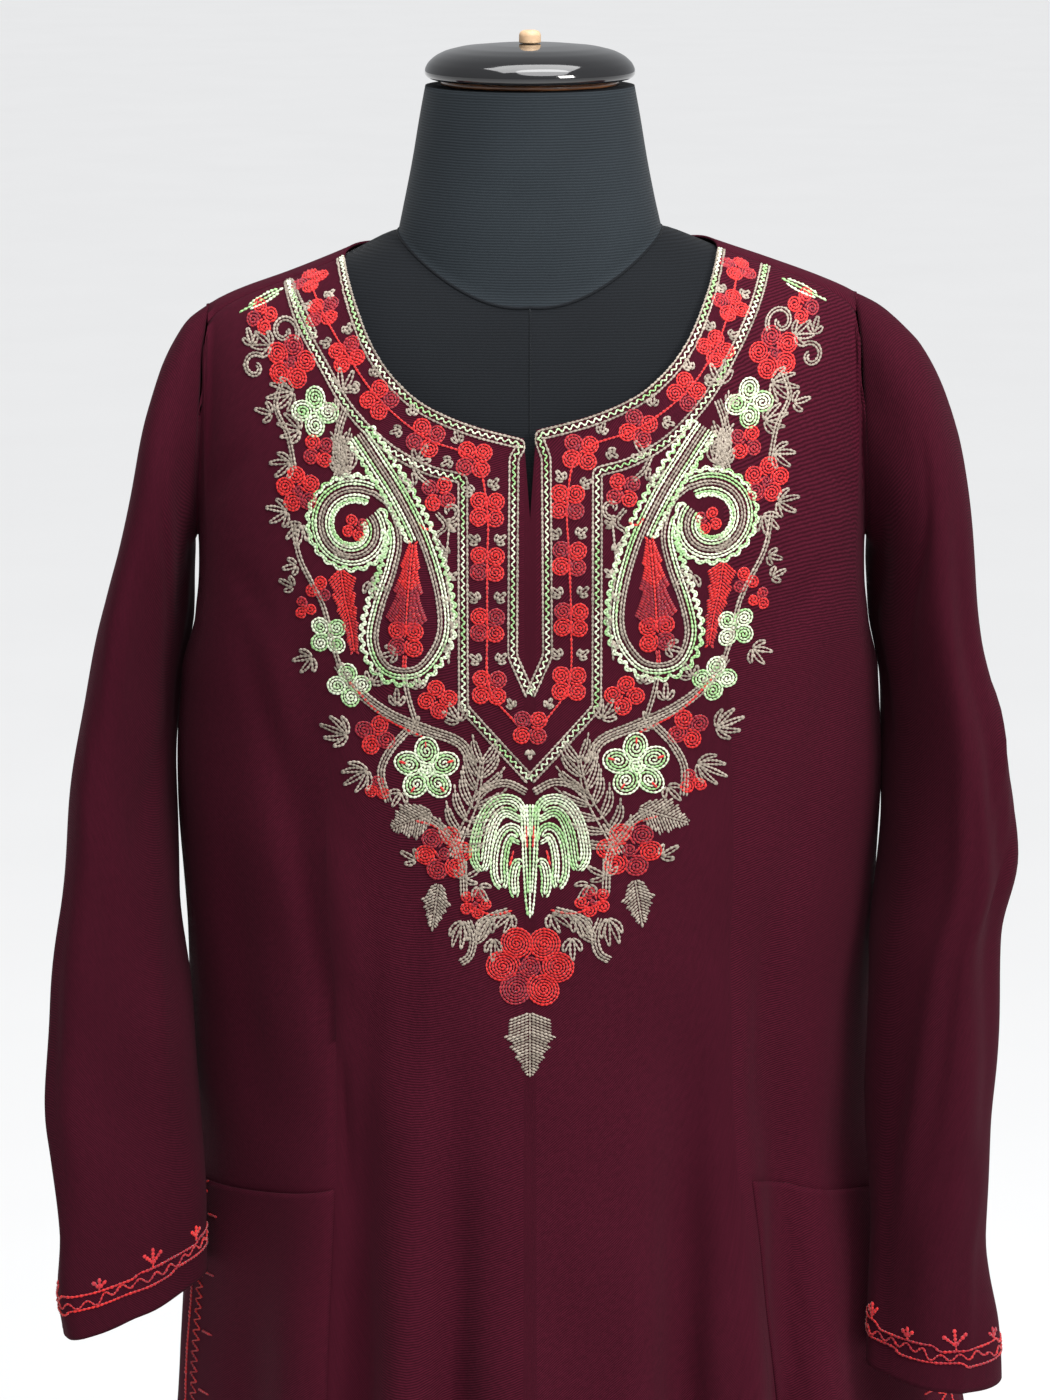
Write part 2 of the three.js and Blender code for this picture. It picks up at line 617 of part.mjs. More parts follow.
// How far the creases push a place of the sleeve outwards
function sleevePush(side, share, angle) {
  let push = 0;
  for (const crease of SLEEVE_CREASES[side]) {
    const down = (share - crease.start) / (crease.end - crease.start);
    if (down <= 0 || down >= 1) continue;
    let apart = THREE.MathUtils.radToDeg(angle) - crease.at - crease.turn * down;
    apart -= 360 * Math.round(apart / 360);
    push += crease.depth * Math.sin(Math.PI * down) * Math.exp(-((apart / crease.width) ** 2));
  }
  return push;
}

// The sleeve's table as smooth curves by the share of its length, and the share of its first row
function sleeveShape(side) {
  const count = SLEEVES[side].length;
  const rows = SLEEVES[side].map((row, i) => ({ ...row, share: (i + 1) / count }));
  const curves = {};
  for (const name of ['outX', 'outZ', 'inX', 'inZ', 'front', 'back', 'lean']) {
    curves[name] = through(rows, 'share', name);
  }
  return { curves, firstShare: 1 / count };
}

// A place on the sleeve's outer surface, on the leaning oval at its share of the length
function sleevePoint(side, curves, share, angle) {
  const sign = side === 'left' ? -1 : 1;
  const along = Math.cos(angle);
  const forward = Math.sin(angle + radians(curves.lean(share)));
  const halfX = (curves.outX(share) - curves.inX(share)) / 2;
  const halfZ = (curves.outZ(share) - curves.inZ(share)) / 2;
  const halfDepth = (curves.back(share) - curves.front(share)) / 2;
  const middleX = sign * (curves.inX(share) + halfX);
  const middleDepth = curves.front(share) + halfDepth;
  const out = new THREE.Vector3(sign * along * halfX, -forward * halfDepth, 0);
  const point = new THREE.Vector3(middleX, middleDepth, curves.inZ(share) + halfZ * (1 + along)).add(out);
  return point.addScaledVector(out.normalize(), sleevePush(side, share, angle));
}

// A sleeve: rings from the armhole to the cuff
function sleeve(side) {
  const turn = side === 'left' ? -1 : 1;
  const { curves, firstShare } = sleeveShape(side);
  const grid = [];
  for (let i = 0; i < SLEEVE_SIDES; i += 1) {
    const angle = (i / SLEEVE_SIDES) * 2 * Math.PI;
    const line = [armholes[side].at(angle, SEAM_GAP / 2).place];
    for (let ring = 1; ring <= SLEEVE_ROWS; ring += 1) {
      const share = lerp(firstShare, 1, (ring - 1) / (SLEEVE_ROWS - 1));
      line.push(sleevePoint(side, curves, share, angle));
    }
    grid.push(line);
  }
  const normals = gridNormals(grid, turn, true);
  normals.forEach((line, i) => {
    line[0].copy(armholes[side].at((i / SLEEVE_SIDES) * 2 * Math.PI, 0).outward);
  });
  return wallGeometry(grid, moved(grid, normals, -WALL), turn, true);
}

// Closed solid through rings of points, with flat ends. The rings run upwards
function ringSolid(rings) {
  const sides = rings[0].length;
  const positions = rings.flat().flatMap((p) => p.toArray());
  const triangles = [];
  for (let r = 0; r < rings.length - 1; r += 1) {
    for (let i = 0; i < sides; i += 1) {
      const a = r * sides + i;
      const b = r * sides + ((i + 1) % sides);
      triangles.push(a, b, b + sides, a, b + sides, a + sides);
    }
  }
  for (const [ring, up] of [[0, false], [rings.length - 1, true]]) {
    const middle = new THREE.Vector3();
    for (const p of rings[ring]) middle.addScaledVector(p, 1 / sides);
    const hub = positions.length / 3;
    positions.push(middle.x, middle.y, middle.z);
    for (let i = 0; i < sides; i += 1) {
      const a = ring * sides + i;
      const b = ring * sides + ((i + 1) % sides);
      if (up) triangles.push(hub, a, b);
      else triangles.push(hub, b, a);
    }
  }
  const geometry = new THREE.BufferGeometry();
  geometry.setAttribute('position', new THREE.Float32BufferAttribute(positions, 3));
  geometry.setIndex(triangles);
  return geometry;
}

// Height of the form's upper surface, which lies under the cloth's hoops
function formHeight(x, y, chest) {
  const side = sideOf(x);
  const half = chest.half;
  let rise = ridge[side](Math.abs(x)) - WALL - FORM_CLEARANCE - CHEST_HEIGHT;
  if (Math.abs(x) > FORM_SHOULDER_START) {
    const past = (Math.abs(x) - FORM_SHOULDER_START) / (half - FORM_SHOULDER_START);
    rise *= Math.sqrt(clamp(1 - past ** FORM_SHOULDER_POWER, 0, 1));
  }
  const edge = y < RIDGE_DEPTH ? chest.front : chest.back;
  const share = clamp(Math.abs(x) / half, 0, 1);
  const reach = Math.max(1, Math.abs(edge * (1 - share ** TORSO_SQUARE) ** TORSO_SOFT - RIDGE_DEPTH));
  const away = clamp(Math.abs(y - RIDGE_DEPTH) / reach, 0, 1);
  return CHEST_HEIGHT + rise * Math.sqrt(1 - away ** HOOP_ROUNDNESS);
}

// The dress form: torso, shoulders and neck
function formBody() {
  const chest = TORSO[TORSO.length - 1];
  const oval = (row, angle) => {
    const x = row.half * Math.sign(Math.cos(angle)) * Math.abs(Math.cos(angle)) ** FORM_CORNERS;
    const share = clamp(Math.abs(x) / row.half, 0, 1);
    const edge = Math.sin(angle) < 0 ? row.front : row.back;
    return new THREE.Vector3(x, edge * (1 - share ** TORSO_SQUARE) ** TORSO_SOFT, row.height);
  };
  const angles = [];
  for (let i = 0; i < FORM_SIDES; i += 1) angles.push((i / FORM_SIDES) * 2 * Math.PI);
  const rings = TORSO.map((row) => angles.map((angle) => oval(row, angle)));
  const neckPoint = (angle) => {
    const edge = Math.sin(angle) < 0 ? -NECK_FRONT : NECK_BACK;
    return new THREE.Vector3(NECK_HALF_WIDTH * Math.cos(angle), edge * Math.sin(angle), 0);
  };
  for (const turn of FORM_SHOULDER_TURNS) {
    rings.push(angles.map((angle) => {
      const place = neckPoint(angle).lerp(oval(chest, angle), Math.cos(radians(turn)));
      place.z = formHeight(place.x, place.y, chest);
      return place;
    }));
  }
  for (const row of NECK) {
    rings.push(angles.map((angle) => {
      const edge = Math.sin(angle) < 0 ? -row.front : row.back;
      const dip = row.dip * Math.sin(angle) ** 2;
      return new THREE.Vector3(row.half * Math.cos(angle), edge * Math.sin(angle), row.height - dip);
    }));
  }
  return ringSolid(rings);
}

// A ring turned about the upright axis from a closed list of places
function turnedRing(places, sides) {
  const points = places.map((place) => new THREE.Vector2(place.radius, place.height));
  const geometry = new THREE.LatheGeometry(points, sides);
  geometry.rotateX(Math.PI / 2);
  return geometry;
}

// A solid turned about the upright axis, standing at a height, from a profile that ends on the axis
function turned(profile, bottom, sides) {
  const places = profile.map((place) => ({ radius: place.radius, height: bottom + place.height }));
  return turnedRing([{ radius: 0, height: bottom }, ...places], sides);
}

// The profile of a plain round bar or disc
function cylinder(radius, height) {
  return [{ radius, height: 0 }, { radius, height }, { radius: 0, height }];
}

// One skin with shared corners and no texture places
function welded(geometry) {
  geometry.deleteAttribute('normal');
  geometry.deleteAttribute('uv');
  const merged = mergeVertices(geometry, SAME_CORNER);
  merged.computeVertexNormals();
  return merged;
}

const part = new THREE.Group();
part.name = 'pheran_on_dress_form';

function add(name, geometry, finish) {
  const mesh = new THREE.Mesh(welded(geometry), new THREE.MeshStandardMaterial(COLOURS[finish]));
  mesh.name = name;
  part.add(mesh);
}

// Garment
const front = panel(-1, NECK_STEPS);
const back = panel(1, BACK_NECK_STEPS);
add('front', front.geometry, 'wool');
add('back', back.geometry, 'wool');
add('sleeve_left', sleeve('left'), 'wool');
add('sleeve_right', sleeve('right'), 'wool');
add('pocket_left', pocket(front, 'left'), 'wool');
add('pocket_right', pocket(front, 'right'), 'wool');

// Dress form
add('form_body', formBody(), 'jersey');

const rimBottom = NECK_TOP + TOUCH;
add('cap_rim', turned(cylinder(RIM_RADIUS, RIM_HEIGHT), rimBottom, RIM_SIDES), 'wood');
add('neck_cap', turned(CAP_PROFILE, rimBottom + RIM_HEIGHT + TOUCH, CAP_SIDES), 'lacquer');
add('cap_knob', turned(KNOB_PROFILE, CAP_TOP + TOUCH, KNOB_SIDES), 'knob');

const poleBottom = BASE_HEIGHT + TOUCH;
const poleHeight = FORM_BOTTOM - TOUCH - poleBottom;
add('pole', turned(cylinder(POLE_RADIUS, poleHeight), poleBottom, POLE_SIDES), 'metal');

const bore = POLE_RADIUS + TOUCH;
add('pole_collar', turnedRing([
  { radius: bore, height: poleBottom },
  { radius: COLLAR_RADIUS, height: poleBottom },
  { radius: COLLAR_RADIUS, height: poleBottom + COLLAR_STRAIGHT },
  { radius: POLE_RADIUS + COLLAR_LIP, height: poleBottom + COLLAR_HEIGHT },
  { radius: bore, height: poleBottom + COLLAR_HEIGHT },
  { radius: bore, height: poleBottom },
], COLLAR_SIDES), 'metal');

add('base', turned(BASE_PROFILE, 0, BASE_SIDES), 'metal');

export default part;
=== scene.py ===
"""Wine-coloured woollen pheran with a chain-stitched yoke, on a black dress form.

Places and sizes are in millimetres, in the frame's own axes: the garment faces -Y, and left is the side
of negative X. Meshes are scaled to metres when they are made.
"""

import math

import bpy
import numpy as np
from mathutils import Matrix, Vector
from mathutils.bvhtree import BVHTree


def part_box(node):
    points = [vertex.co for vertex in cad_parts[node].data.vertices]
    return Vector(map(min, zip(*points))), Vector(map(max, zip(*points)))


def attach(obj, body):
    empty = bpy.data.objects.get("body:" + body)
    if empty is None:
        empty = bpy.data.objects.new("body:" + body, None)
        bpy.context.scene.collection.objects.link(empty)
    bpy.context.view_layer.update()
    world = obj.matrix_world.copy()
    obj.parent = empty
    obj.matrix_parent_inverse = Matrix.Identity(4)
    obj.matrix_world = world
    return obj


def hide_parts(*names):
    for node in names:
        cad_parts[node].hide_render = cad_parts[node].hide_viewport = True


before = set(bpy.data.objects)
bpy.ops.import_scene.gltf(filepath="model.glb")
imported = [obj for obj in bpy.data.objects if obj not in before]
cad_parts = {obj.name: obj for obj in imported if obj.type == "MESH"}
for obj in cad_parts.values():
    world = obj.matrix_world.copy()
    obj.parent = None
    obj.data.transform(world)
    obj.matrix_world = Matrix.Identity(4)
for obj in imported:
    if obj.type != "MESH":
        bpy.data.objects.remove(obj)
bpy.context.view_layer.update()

MM = 0.001

# Camera, as the photograph was taken
CAMERA_PITCH = 14
CAMERA_TARGET = (-2.7, -115, 1170)
CAMERA_DISTANCE = 2000
PHOTO_HEIGHT = 1400
PHOTO_SCALE = 0.54
SENSOR = 36
SKY = (0.95, 0.97, 1, 1)
SKY_STRENGTH = 0.35
WINDOW = {"elevation": 55, "azimuth": 20, "spread": 46, "power": 2.35}
FLOOR_RADIUS = 40000
FLOOR_SIDES = 64

# Garment, the same sizes as its solids
CHEST_HEIGHT = 1195
UNDERARM_HEIGHT = 1238
HEM_HEIGHT = 360
POCKET_TOPS = {"left": (880, 851), "right": (886, 846)}
POCKET_INNER_SHARES = {"left": 0.551, "right": 0.583}
POCKET_BOTTOM = 655
SIDE_NECK = 0.551
SHOULDER_TIP = 0.957
SLIT_EDGE = 0.0175
SLIT_DEPTH = 46
RIDGE_DEPTH = 6
SEAM_DEPTH = -10
BACK_NECK_DEPTH = 58
HOOP_ROUNDNESS = 2.1
BACK_NECK_ROUNDNESS = 2.4
ARMHOLE_WIDEST = 1300
SEAM_GAP = 0.3
POCKET_OUTER_SHARE = 0.989

# Fine cloth
CLOTH = 1.3
SEAM_ROLL = 0.6
SEAM_ROLL_WIDTH = 2.0
POCKET_LIFT = 0.5
POCKET_CLOTH = 1.4
POCKET_EDGE_DROP = 1.1
POCKET_EDGE_WIDTH = 2.2

# Creases start this far from a seam, and the slight unevenness grows between these heights
PANEL_SETTLE = 12
SLEEVE_SETTLE = 14
RIPPLE_GROWS = (1330, 1150)

# Waves of the unevenness: lengths across and down as shares, and depth
RIPPLES = ((41, 13, 0.5), (23, -31, 0.35), (-17, 67, 0.3), (71, 29, 0.22))

# Cloth that gathers under the arms, where it fills the space up to the sleeves
UNDERARM_FULLNESS = 2.6
UNDERARM_FOLD = 1190
UNDERARM_SPREAD = 17
UNDERARM_POWER = 6

# Grids of the fine cloth
NECK_STEPS = 26
SHOULDER_STEPS = 16
ARMHOLE_STEPS = 14
YOKE_ROWS = 46
YOKE_EASE = 1.3
NECK_EASE = 0.85
ROW_STEP = 5.5
SLEEVE_SIDES = 72
SLEEVE_ROWS = 120
SLEEVE_HEAD_ROWS = 6
SLEEVE_EASED_ROWS = 16
SLEEVE_EASING = 6
POCKET_COLUMNS = 44
POCKET_ROWS = 60

BODY_COLUMNS = ("height", "left", "right", "front", "back", "seam", "square", "soft")
BODY = (
    (360, 256, 297, -155, 148, 28, 2.2, 0.74),
    (480, 240, 287, -147, 139, 28, 2.2, 0.75),
    (600, 225, 277, -139, 130, 28, 2.2, 0.75),
    (700, 214, 264, -133, 122, 27, 2.2, 0.75),
    (800, 207, 238, -127, 114, 24, 2.2, 0.75),
    (900, 200, 206, -122, 106, 20, 2.3, 0.7),
    (1000, 200, 201, -119, 100, 18, 2.4, 0.64),
    (1080, 204, 203, -118, 98, 15, 2.5, 0.58),
    (1160, 199, 199, -116, 99, 7, 2.7, 0.53),
    (1195, 187, 189, -114, 99, 0, 3, 0.46),
    (1240, 187, 189, -111, 100, 0, 3, 0.45),
)

RIDGE_COLUMNS = ("out", "left", "right")
RIDGE = (
    (0, 1424, 1424),
    (73, 1413, 1415),
    (103, 1399, 1404),
    (133, 1387, 1394),
    (166, 1375, 1382),
    (181, 1367, 1375),
    (200, 1350, 1360),
)

NECKLINE_COLUMNS = ("share", "drop")
NECKLINE = ((0, 88), (0.3, 80.5), (0.55, 70), (0.7, 58), (0.82, 43), (0.92, 22), (1, 0))

# Largest folds: place across, sideways drift, top, bottom, width, and ridge (+) or trough (-)
FRONT_FOLDS = (
    (-81, -26, 1170, 360, 15, -13), (-60, -22, 1080, 360, 17, 12), (-38, -14, 1040, 360, 16, -14),
    (-5, 2, 980, 360, 24, 9), (32, 12, 930, 360, 18, -9), (56, 16, 960, 360, 16, 8),
    (84, 24, 1040, 360, 19, -18), (109, 36, 1080, 360, 15, 14), (129, 44, 1100, 360, 13, -12),
    (152, 55, 1120, 360, 14, 9), (-118, -40, 1000, 360, 16, 10), (-150, -45, 950, 360, 15, -8),
    (-128, 14, 1220, 1010, 14, -6),
)
BACK_FOLDS = (
    (-132, -42, 1120, 360, 18, -12), (-98, -34, 1060, 360, 18, 12),
    (-62, -22, 1130, 360, 16, -15), (-22, -8, 1010, 360, 22, 11), (18, 6, 1090, 360, 15, -11),
    (58, 20, 1020, 360, 20, 12), (97, 36, 1110, 360, 17, -15), (138, 58, 1060, 360, 18, 10),
)
FOLD_GROWN = 0.6
FOLD_FADING = 0.5
FOLD_SIDE_POWER = 8
OUTWARD_LIMIT = 0.985

# Sleeves from the armhole to the cuff, in sections at even shares of their length
SLEEVE_COLUMNS = ("share", "outX", "outZ", "inX", "inZ", "front", "back", "lean")
SLEEVES = {
    "left": (
        (191, 1360, 189, 1235, -42, 39, 0),
        (204, 1338, 190, 1230, -52, 45, 6),
        (212, 1313, 190, 1222, -59, 50, 13),
        (220, 1275, 191, 1208, -64, 53, 20),
        (231, 1232, 193, 1186, -68, 54, 26),
        (244, 1177, 201, 1146, -73, 51, 27),
        (255, 1118, 204, 1096, -79, 43, 24),
        (263, 1050, 202, 1032, -87, 30, 20),
        (271, 985, 196, 972, -94, 16, 19),
        (274, 930, 192, 920, -98, 3, 24),
        (271, 896, 190, 890, -100, -4, 27),
        (268, 848, 188, 852, -102, -12, 31),
        (270, 815, 188, 828, -102, -15, 33),
        (268, 790, 188, 808, -101, -17, 35),
    ),
    "right": (
        (196, 1368, 191, 1235, -42, 39, 0),
        (214, 1352, 192, 1230, -52, 45, 6),
        (231, 1320, 192, 1222, -60, 50, 12),
        (241, 1286, 193, 1208, -65, 53, 18),
        (246, 1235, 195, 1186, -69, 53, 24),
        (252, 1188, 201, 1150, -73, 50, 24),
        (269, 1120, 203, 1096, -80, 41, 22),
        (275, 1066, 200, 1045, -88, 29, 16),
        (267, 1018, 195, 1000, -94, 18, 12),
        (266, 950, 193, 938, -101, 0, 11),
        (263, 905, 194, 896, -105, -12, 11),
        (260, 848, 195, 842, -109, -26, 9),
        (268, 795, 195, 792, -112, -38, 6),
        (271, 762, 194, 768, -113, -42, 4),
    ),
}
# Sleeve folds: place round it and turn in degrees, start and end by share of length, width, and depth
SLEEVE_FOLDS = {
    "left": (
        (42, 14, 0.55, 1.2, 20, 5), (88, 10, 0.3, 0.9, 26, -5), (150, -10, 0.02, 0.4, 24, -5),
        (262, 12, 0.25, 1.1, 26, -6), (320, -14, 0.4, 0.9, 22, -4),
    ),
    "right": (
        (55, -18, 0.25, 0.82, 16, -7), (84, -16, 0.2, 0.85, 18, 5), (120, 20, 0.6, 1.1, 24, -4),
        (150, -10, 0.02, 0.4, 24, -5), (275, -14, 0.3, 1.1, 26, -6),
    ),
}

# Smaller creases: from one place (x1, z1) to another (x2, z2), bend, width, and ridge or trough
FRONT_CREASES = (
    (-162, 1212, -106, 905, 8, 7, -4.6), (-150, 1222, -92, 985, 6, 9, 3.2),
    (-106, 960, -103, 868, 0, 3.5, -3), (-128, 1200, -118, 1080, -3, 8, -2.4),
    (-172, 1130, -150, 900, -4, 10, -3), (172, 1200, 150, 1010, -6, 9, -3.4),
    (160, 1180, 138, 950, 5, 10, 2.6), (142, 1080, 128, 900, -4, 7, -3.2),
    (118, 1010, 112, 800, 3, 8, 2.2), (-24, 928, 60, 930, 0, 2.4, -0.8),
    (-70, 929, -24, 927, 0, 2.6, -0.6), (-60, 1090, -66, 930, -2, 8, -2.2),
    (-100, 1010, -112, 520, 4, 10, -4.5), (-78, 1040, -84, 520, -3, 9, 3.6),
    (-48, 1010, -44, 520, 3, 9, -3.8), (-20, 1000, -26, 540, -2, 12, 2.4),
    (78, 1010, 88, 520, 3, 11, -5), (104, 1020, 116, 520, -4, 10, 4),
    (134, 1010, 152, 540, 4, 9, -4), (168, 960, 196, 500, 5, 9, -4), (28, 940, 34, 620, 3, 12, 2),
    (12, 900, 6, 640, 3, 10, -2), (150, 1300, 176, 1262, 4, 5, -2),
    (-150, 1300, -176, 1262, -4, 5, -2), (-168, 1238, -140, 1196, 4, 5, -2.4),
    (168, 1240, 142, 1200, -4, 5, -2.4), (-90, 800, -104, 430, 5, 9, -2.2),
    (40, 700, 52, 400, 4, 11, 2.2), (170, 760, 196, 420, 5, 10, -2.4),
    (-180, 640, -196, 400, -4, 9, -2), (120, 1340, 152, 1310, 3, 5, -0.8),
    (-120, 1335, -150, 1300, -3, 5, -0.8),
)
BACK_CREASES = (
    (-168, 1236, -120, 1080, -6, 8, -2.8), (168, 1236, 118, 1060, 7, 8, -2.8),
    (-150, 1225, -96, 1010, -6, 9, 2), (150, 1222, 100, 990, 5, 9, 2),
    (-60, 1330, 40, 1322, 6, 7, -1.2), (-110, 1350, -60, 1290, 4, 8, -1.2),
    (110, 1352, 64, 1286, -4, 8, -1.2), (-36, 1130, -44, 820, 4, 9, -1.8),
    (44, 1100, 54, 780, -4, 9, -1.8), (4, 1000, -4, 640, 5, 10, 1.6),
    (-112, 900, -138, 520, -5, 9, -2), (104, 880, 134, 500, 6, 9, 2),
    (-80, 700, -94, 400, 4, 10, 2), (78, 660, 90, 400, -4, 10, -2),
    (-20, 560, -26, 380, 3, 9, -1.6), (-150, 1120, 150, 1116, 5, 3, -0.4),
)
# The sleeves' creases run from one distance round and down the sleeve to another
SLEEVE_CREASES = {
    "left": (
        (150, 20, 128, 130, 6, 7, -2.4), (60, 36, 104, 120, -6, 8, -1.8),
        (118, 96, 70, 236, 6, 9, -2.2), (30, 180, 74, 330, 6, 9, -2),
        (96, 210, 88, 420, -5, 8, 1.8), (22, 320, 20, 600, 3, 4, 1.8),
        (30, 330, 34, 590, 3, 7, -1.8), (70, 400, 62, 560, 4, 8, -1.4),
        (190, 120, 214, 300, 5, 9, -2.2), (230, 250, 214, 480, -6, 9, 2),
        (252, 60, 262, 220, 4, 8, -1.8), (180, 420, 196, 580, 4, 8, -1.8),
        (6, 250, 60, 262, 3, 5, -1),
    ),
    "right": (
        (150, 20, 128, 130, 6, 7, -2.4), (52, 40, 92, 130, -6, 8, -1.8),
        (44, 200, 66, 430, -8, 5, -2.6), (56, 200, 80, 430, -8, 7, 2.2),
        (66, 430, 30, 520, 5, 5, -2.4), (30, 520, 52, 610, 4, 7, 1.8),
        (92, 330, 104, 560, 5, 8, -1.8), (10, 240, 40, 300, 4, 7, 2.2),
        (12, 300, 46, 352, 4, 6, -2), (196, 110, 218, 320, 5, 9, -2.2),
        (236, 240, 220, 470, -6, 9, 2), (180, 400, 198, 590, 4, 8, -1.8),
        (256, 70, 262, 230, 4, 8, -1.8),
    ),
}

# Dress form
FORM_CLEARANCE = 3.2
FORM_SHOULDER_START = 148
FORM_SHOULDER_POWER = 4
FORM_CORNERS = 0.8
FORM_SIDES = 168
TORSO_RINGS = 60
SHOULDER_RINGS = 30
NECK_RINGS = 24
FORM_EASING = 4
CENTRE_SEAM_START = 30
NECK_WELT = 0.9
CENTRE_WELT = 0.55
NECK_HALF_WIDTH = 73
NECK_FRONT = 62
NECK_BACK = 52
NECK_TOP = 1489.5
TORSO_SQUARE = 3
TORSO_SOFT = 0.47
TORSO_COLUMNS = ("height", "half", "front", "back")
TORSO = (
    (765, 150, -84, 82),
    (785, 160, -90, 88),
    (830, 165, -93, 90),
    (900, 152, -90, 82),
    (1010, 122, -82, 74),
    (1100, 149, -100, 80),
    (1150, 164, -107, 85),
    (1195, 174, -104, 88),
)
NECK_COLUMNS = ("height", "half", "front", "back", "dip")
NECK = (
    (1426, 69.5, -60, 50, 18),
    (1448, 65, -56.5, 49, 8),
    (1474, 60.5, -55, 51, 0),
    (1489.5, 57.5, -55, 53, 0),
)

# Stand and cap
CAP_TOP = 1512
POLE_RADIUS = 16
COLLAR_RADIUS = 32
BASE_HEIGHT = 16
TOUCH = 0.3
TURNED_SIDES = 96

# Pitch and slope of the cloth's diagonal lines, and pitch of the jersey's ribs
TWILL_PITCH = 1.25
TWILL_SLOPE = 33
RIB_PITCH = 1.5

# Colours of the wool: its deep and plain wine, its lit lines, its dark slubs and its pale fibres
WINE_DEEP = (0.0165, 0.0011, 0.0042, 1)
WINE = (0.0225, 0.0016, 0.0056, 1)
WINE_LIT = (0.078, 0.0070, 0.0190, 1)
WINE_SLUB = (0.007, 0.0006, 0.0022, 1)
WINE_FIBRE = (0.10, 0.016, 0.030, 1)
WINE_SHEEN = (0.8, 0.35, 0.45, 1)

# Chain stitch
LINK = 2.4
LINK_WIDTH = 1.5
LINK_HEIGHT = 1.05
ROW_PITCH = 1.65
FEATHER_PITCH = 1.75
TOOTH_DEPTH = 0.26
SEED = 11

random = np.random.default_rng(SEED)

SIGNS = {"left": -1, "right": 1}


def smooth_curve(xs, ys):
    """A smooth curve through the places, with no overshoot between them."""
    xs = np.asarray(xs, float)
    ys = np.asarray(ys, float)
    rises = np.diff(ys) / np.diff(xs)
    before, after = rises[:-1], rises[1:]
    total = np.where(before + after == 0, 1, before + after)
    inner = np.where(before * after <= 0, 0, 2 * before * after / total)
    slopes = np.concatenate(([rises[0]], inner, [rises[-1]]))

    def value(x):
        x = np.clip(x, xs[0], xs[-1])
        i = np.clip(np.searchsorted(xs, x, side="right") - 1, 0, len(xs) - 2)
        span = xs[i + 1] - xs[i]
        t = (x - xs[i]) / span
        even = 2 * t**3 - 3 * t**2 + 1
        first = (t**3 - 2 * t**2 + t) * span * slopes[i]
        second = (t**3 - t**2) * span * slopes[i + 1]
        return ys[i] * even + first + ys[i + 1] * (1 - even) + second

    return value


def table_curves(rows, columns):
    """A smooth curve for each column of a table, over the table's first column."""
    first, *others = zip(*rows)
    return {name: smooth_curve(first, values) for name, values in zip(columns[1:], others)}


def ramp(x, start, end):
    t = np.clip((x - start) / (end - start), 0, 1)
    return t * t * (3 - 2 * t)


def lerp(a, b, t):
    return a + (b - a) * t


def unit(vectors):
    return vectors / np.maximum(np.linalg.norm(vectors, axis=-1, keepdims=True), 1e-9)


body = table_curves(BODY, BODY_COLUMNS)
ridge = table_curves(RIDGE, RIDGE_COLUMNS)
neck_drop = table_curves(NECKLINE, NECKLINE_COLUMNS)["drop"]


def half_width(x, height):
    return np.where(x < 0, body["left"](height), body["right"](height))


def section_depth(face, x, height):
    """Depth of the plain section, without folds."""
    share = np.clip(np.abs(x) / half_width(x, height), 0, 1)
    seam = body["seam"](height)
    reach = body["front" if face < 0 else "back"](height) - seam
    return seam + reach * (1 - share ** body["square"](height)) ** body["soft"](height)


def fold_push(face, x, height):
    """How far the largest folds push a place outwards."""
    share = np.abs(x) / half_width(x, height)
    push = np.zeros_like(x, float)
    for at, drift, top, bottom, width, depth in FRONT_FOLDS if face < 0 else BACK_FOLDS:
        down = np.clip((top - height) / (top - bottom), 0, None)
        bell = np.exp(-(((x - at - drift * down) / width) ** 2))
        fade = 1 - ramp(down, FOLD_FADING, 1) if bottom > HEM_HEIGHT else 1
        push = push + depth * bell * ramp(down, 0, FOLD_GROWN) * fade
    return push * np.clip(1 - share**FOLD_SIDE_POWER, 0, 1)


def body_point(face, x, height):
    """A place on the body below the yoke, on the folded section."""
    limit = OUTWARD_LIMIT * half_width(x, height)
    near = np.clip(x, -limit, limit)
    slope = (section_depth(face, near + 1, height) - section_depth(face, near - 1, height)) / 2
    outward = unit(np.stack([-slope * face, np.full_like(slope, face), np.zeros_like(slope)], -1))
    height = np.broadcast_to(height, np.shape(x))
    point = np.stack([x, section_depth(face, x, height), height], -1)
    return point + outward * fold_push(face, x, height)[..., None]


def ridge_height(x):
    return np.where(x < 0, ridge["left"](np.abs(x)), ridge["right"](np.abs(x)))


def hoop(face, x):
    return ridge_height(x) - CHEST_HEIGHT, np.abs(section_depth(face, x, CHEST_HEIGHT) - RIDGE_DEPTH)


def turn_at_depth(x, depth):
    """How far round the hoop over the shoulder a depth lies: 0 on the ridge, less towards the front."""
    face = -1 if depth < RIDGE_DEPTH else 1
    share = np.clip(abs(depth - RIDGE_DEPTH) / hoop(face, x)[1], 0, 1)
    return face * np.arcsin(share ** (HOOP_ROUNDNESS / 2))


def turn_at_height(face, x, height):
    return face * np.arccos(np.clip((height - CHEST_HEIGHT) / hoop(face, x)[0], 0, 1))


def hoop_point(x, turn):
    face = np.where(turn < 0, -1, 1)
    front, back = hoop(-1, x), hoop(1, x)
    reach = np.where(turn < 0, front[1], back[1])
    depth = RIDGE_DEPTH + face * reach * np.sin(np.abs(turn)) ** (2 / HOOP_ROUNDNESS)
    height = CHEST_HEIGHT + front[0] * np.cos(turn)
    return np.stack(np.broadcast_arrays(x, depth, height), -1).astype(float)


def panel_x(side, share, height=CHEST_HEIGHT):
    """A place across the panel, by its share of the half width."""
    return np.float64(SIGNS[side] * share * body[side](height))


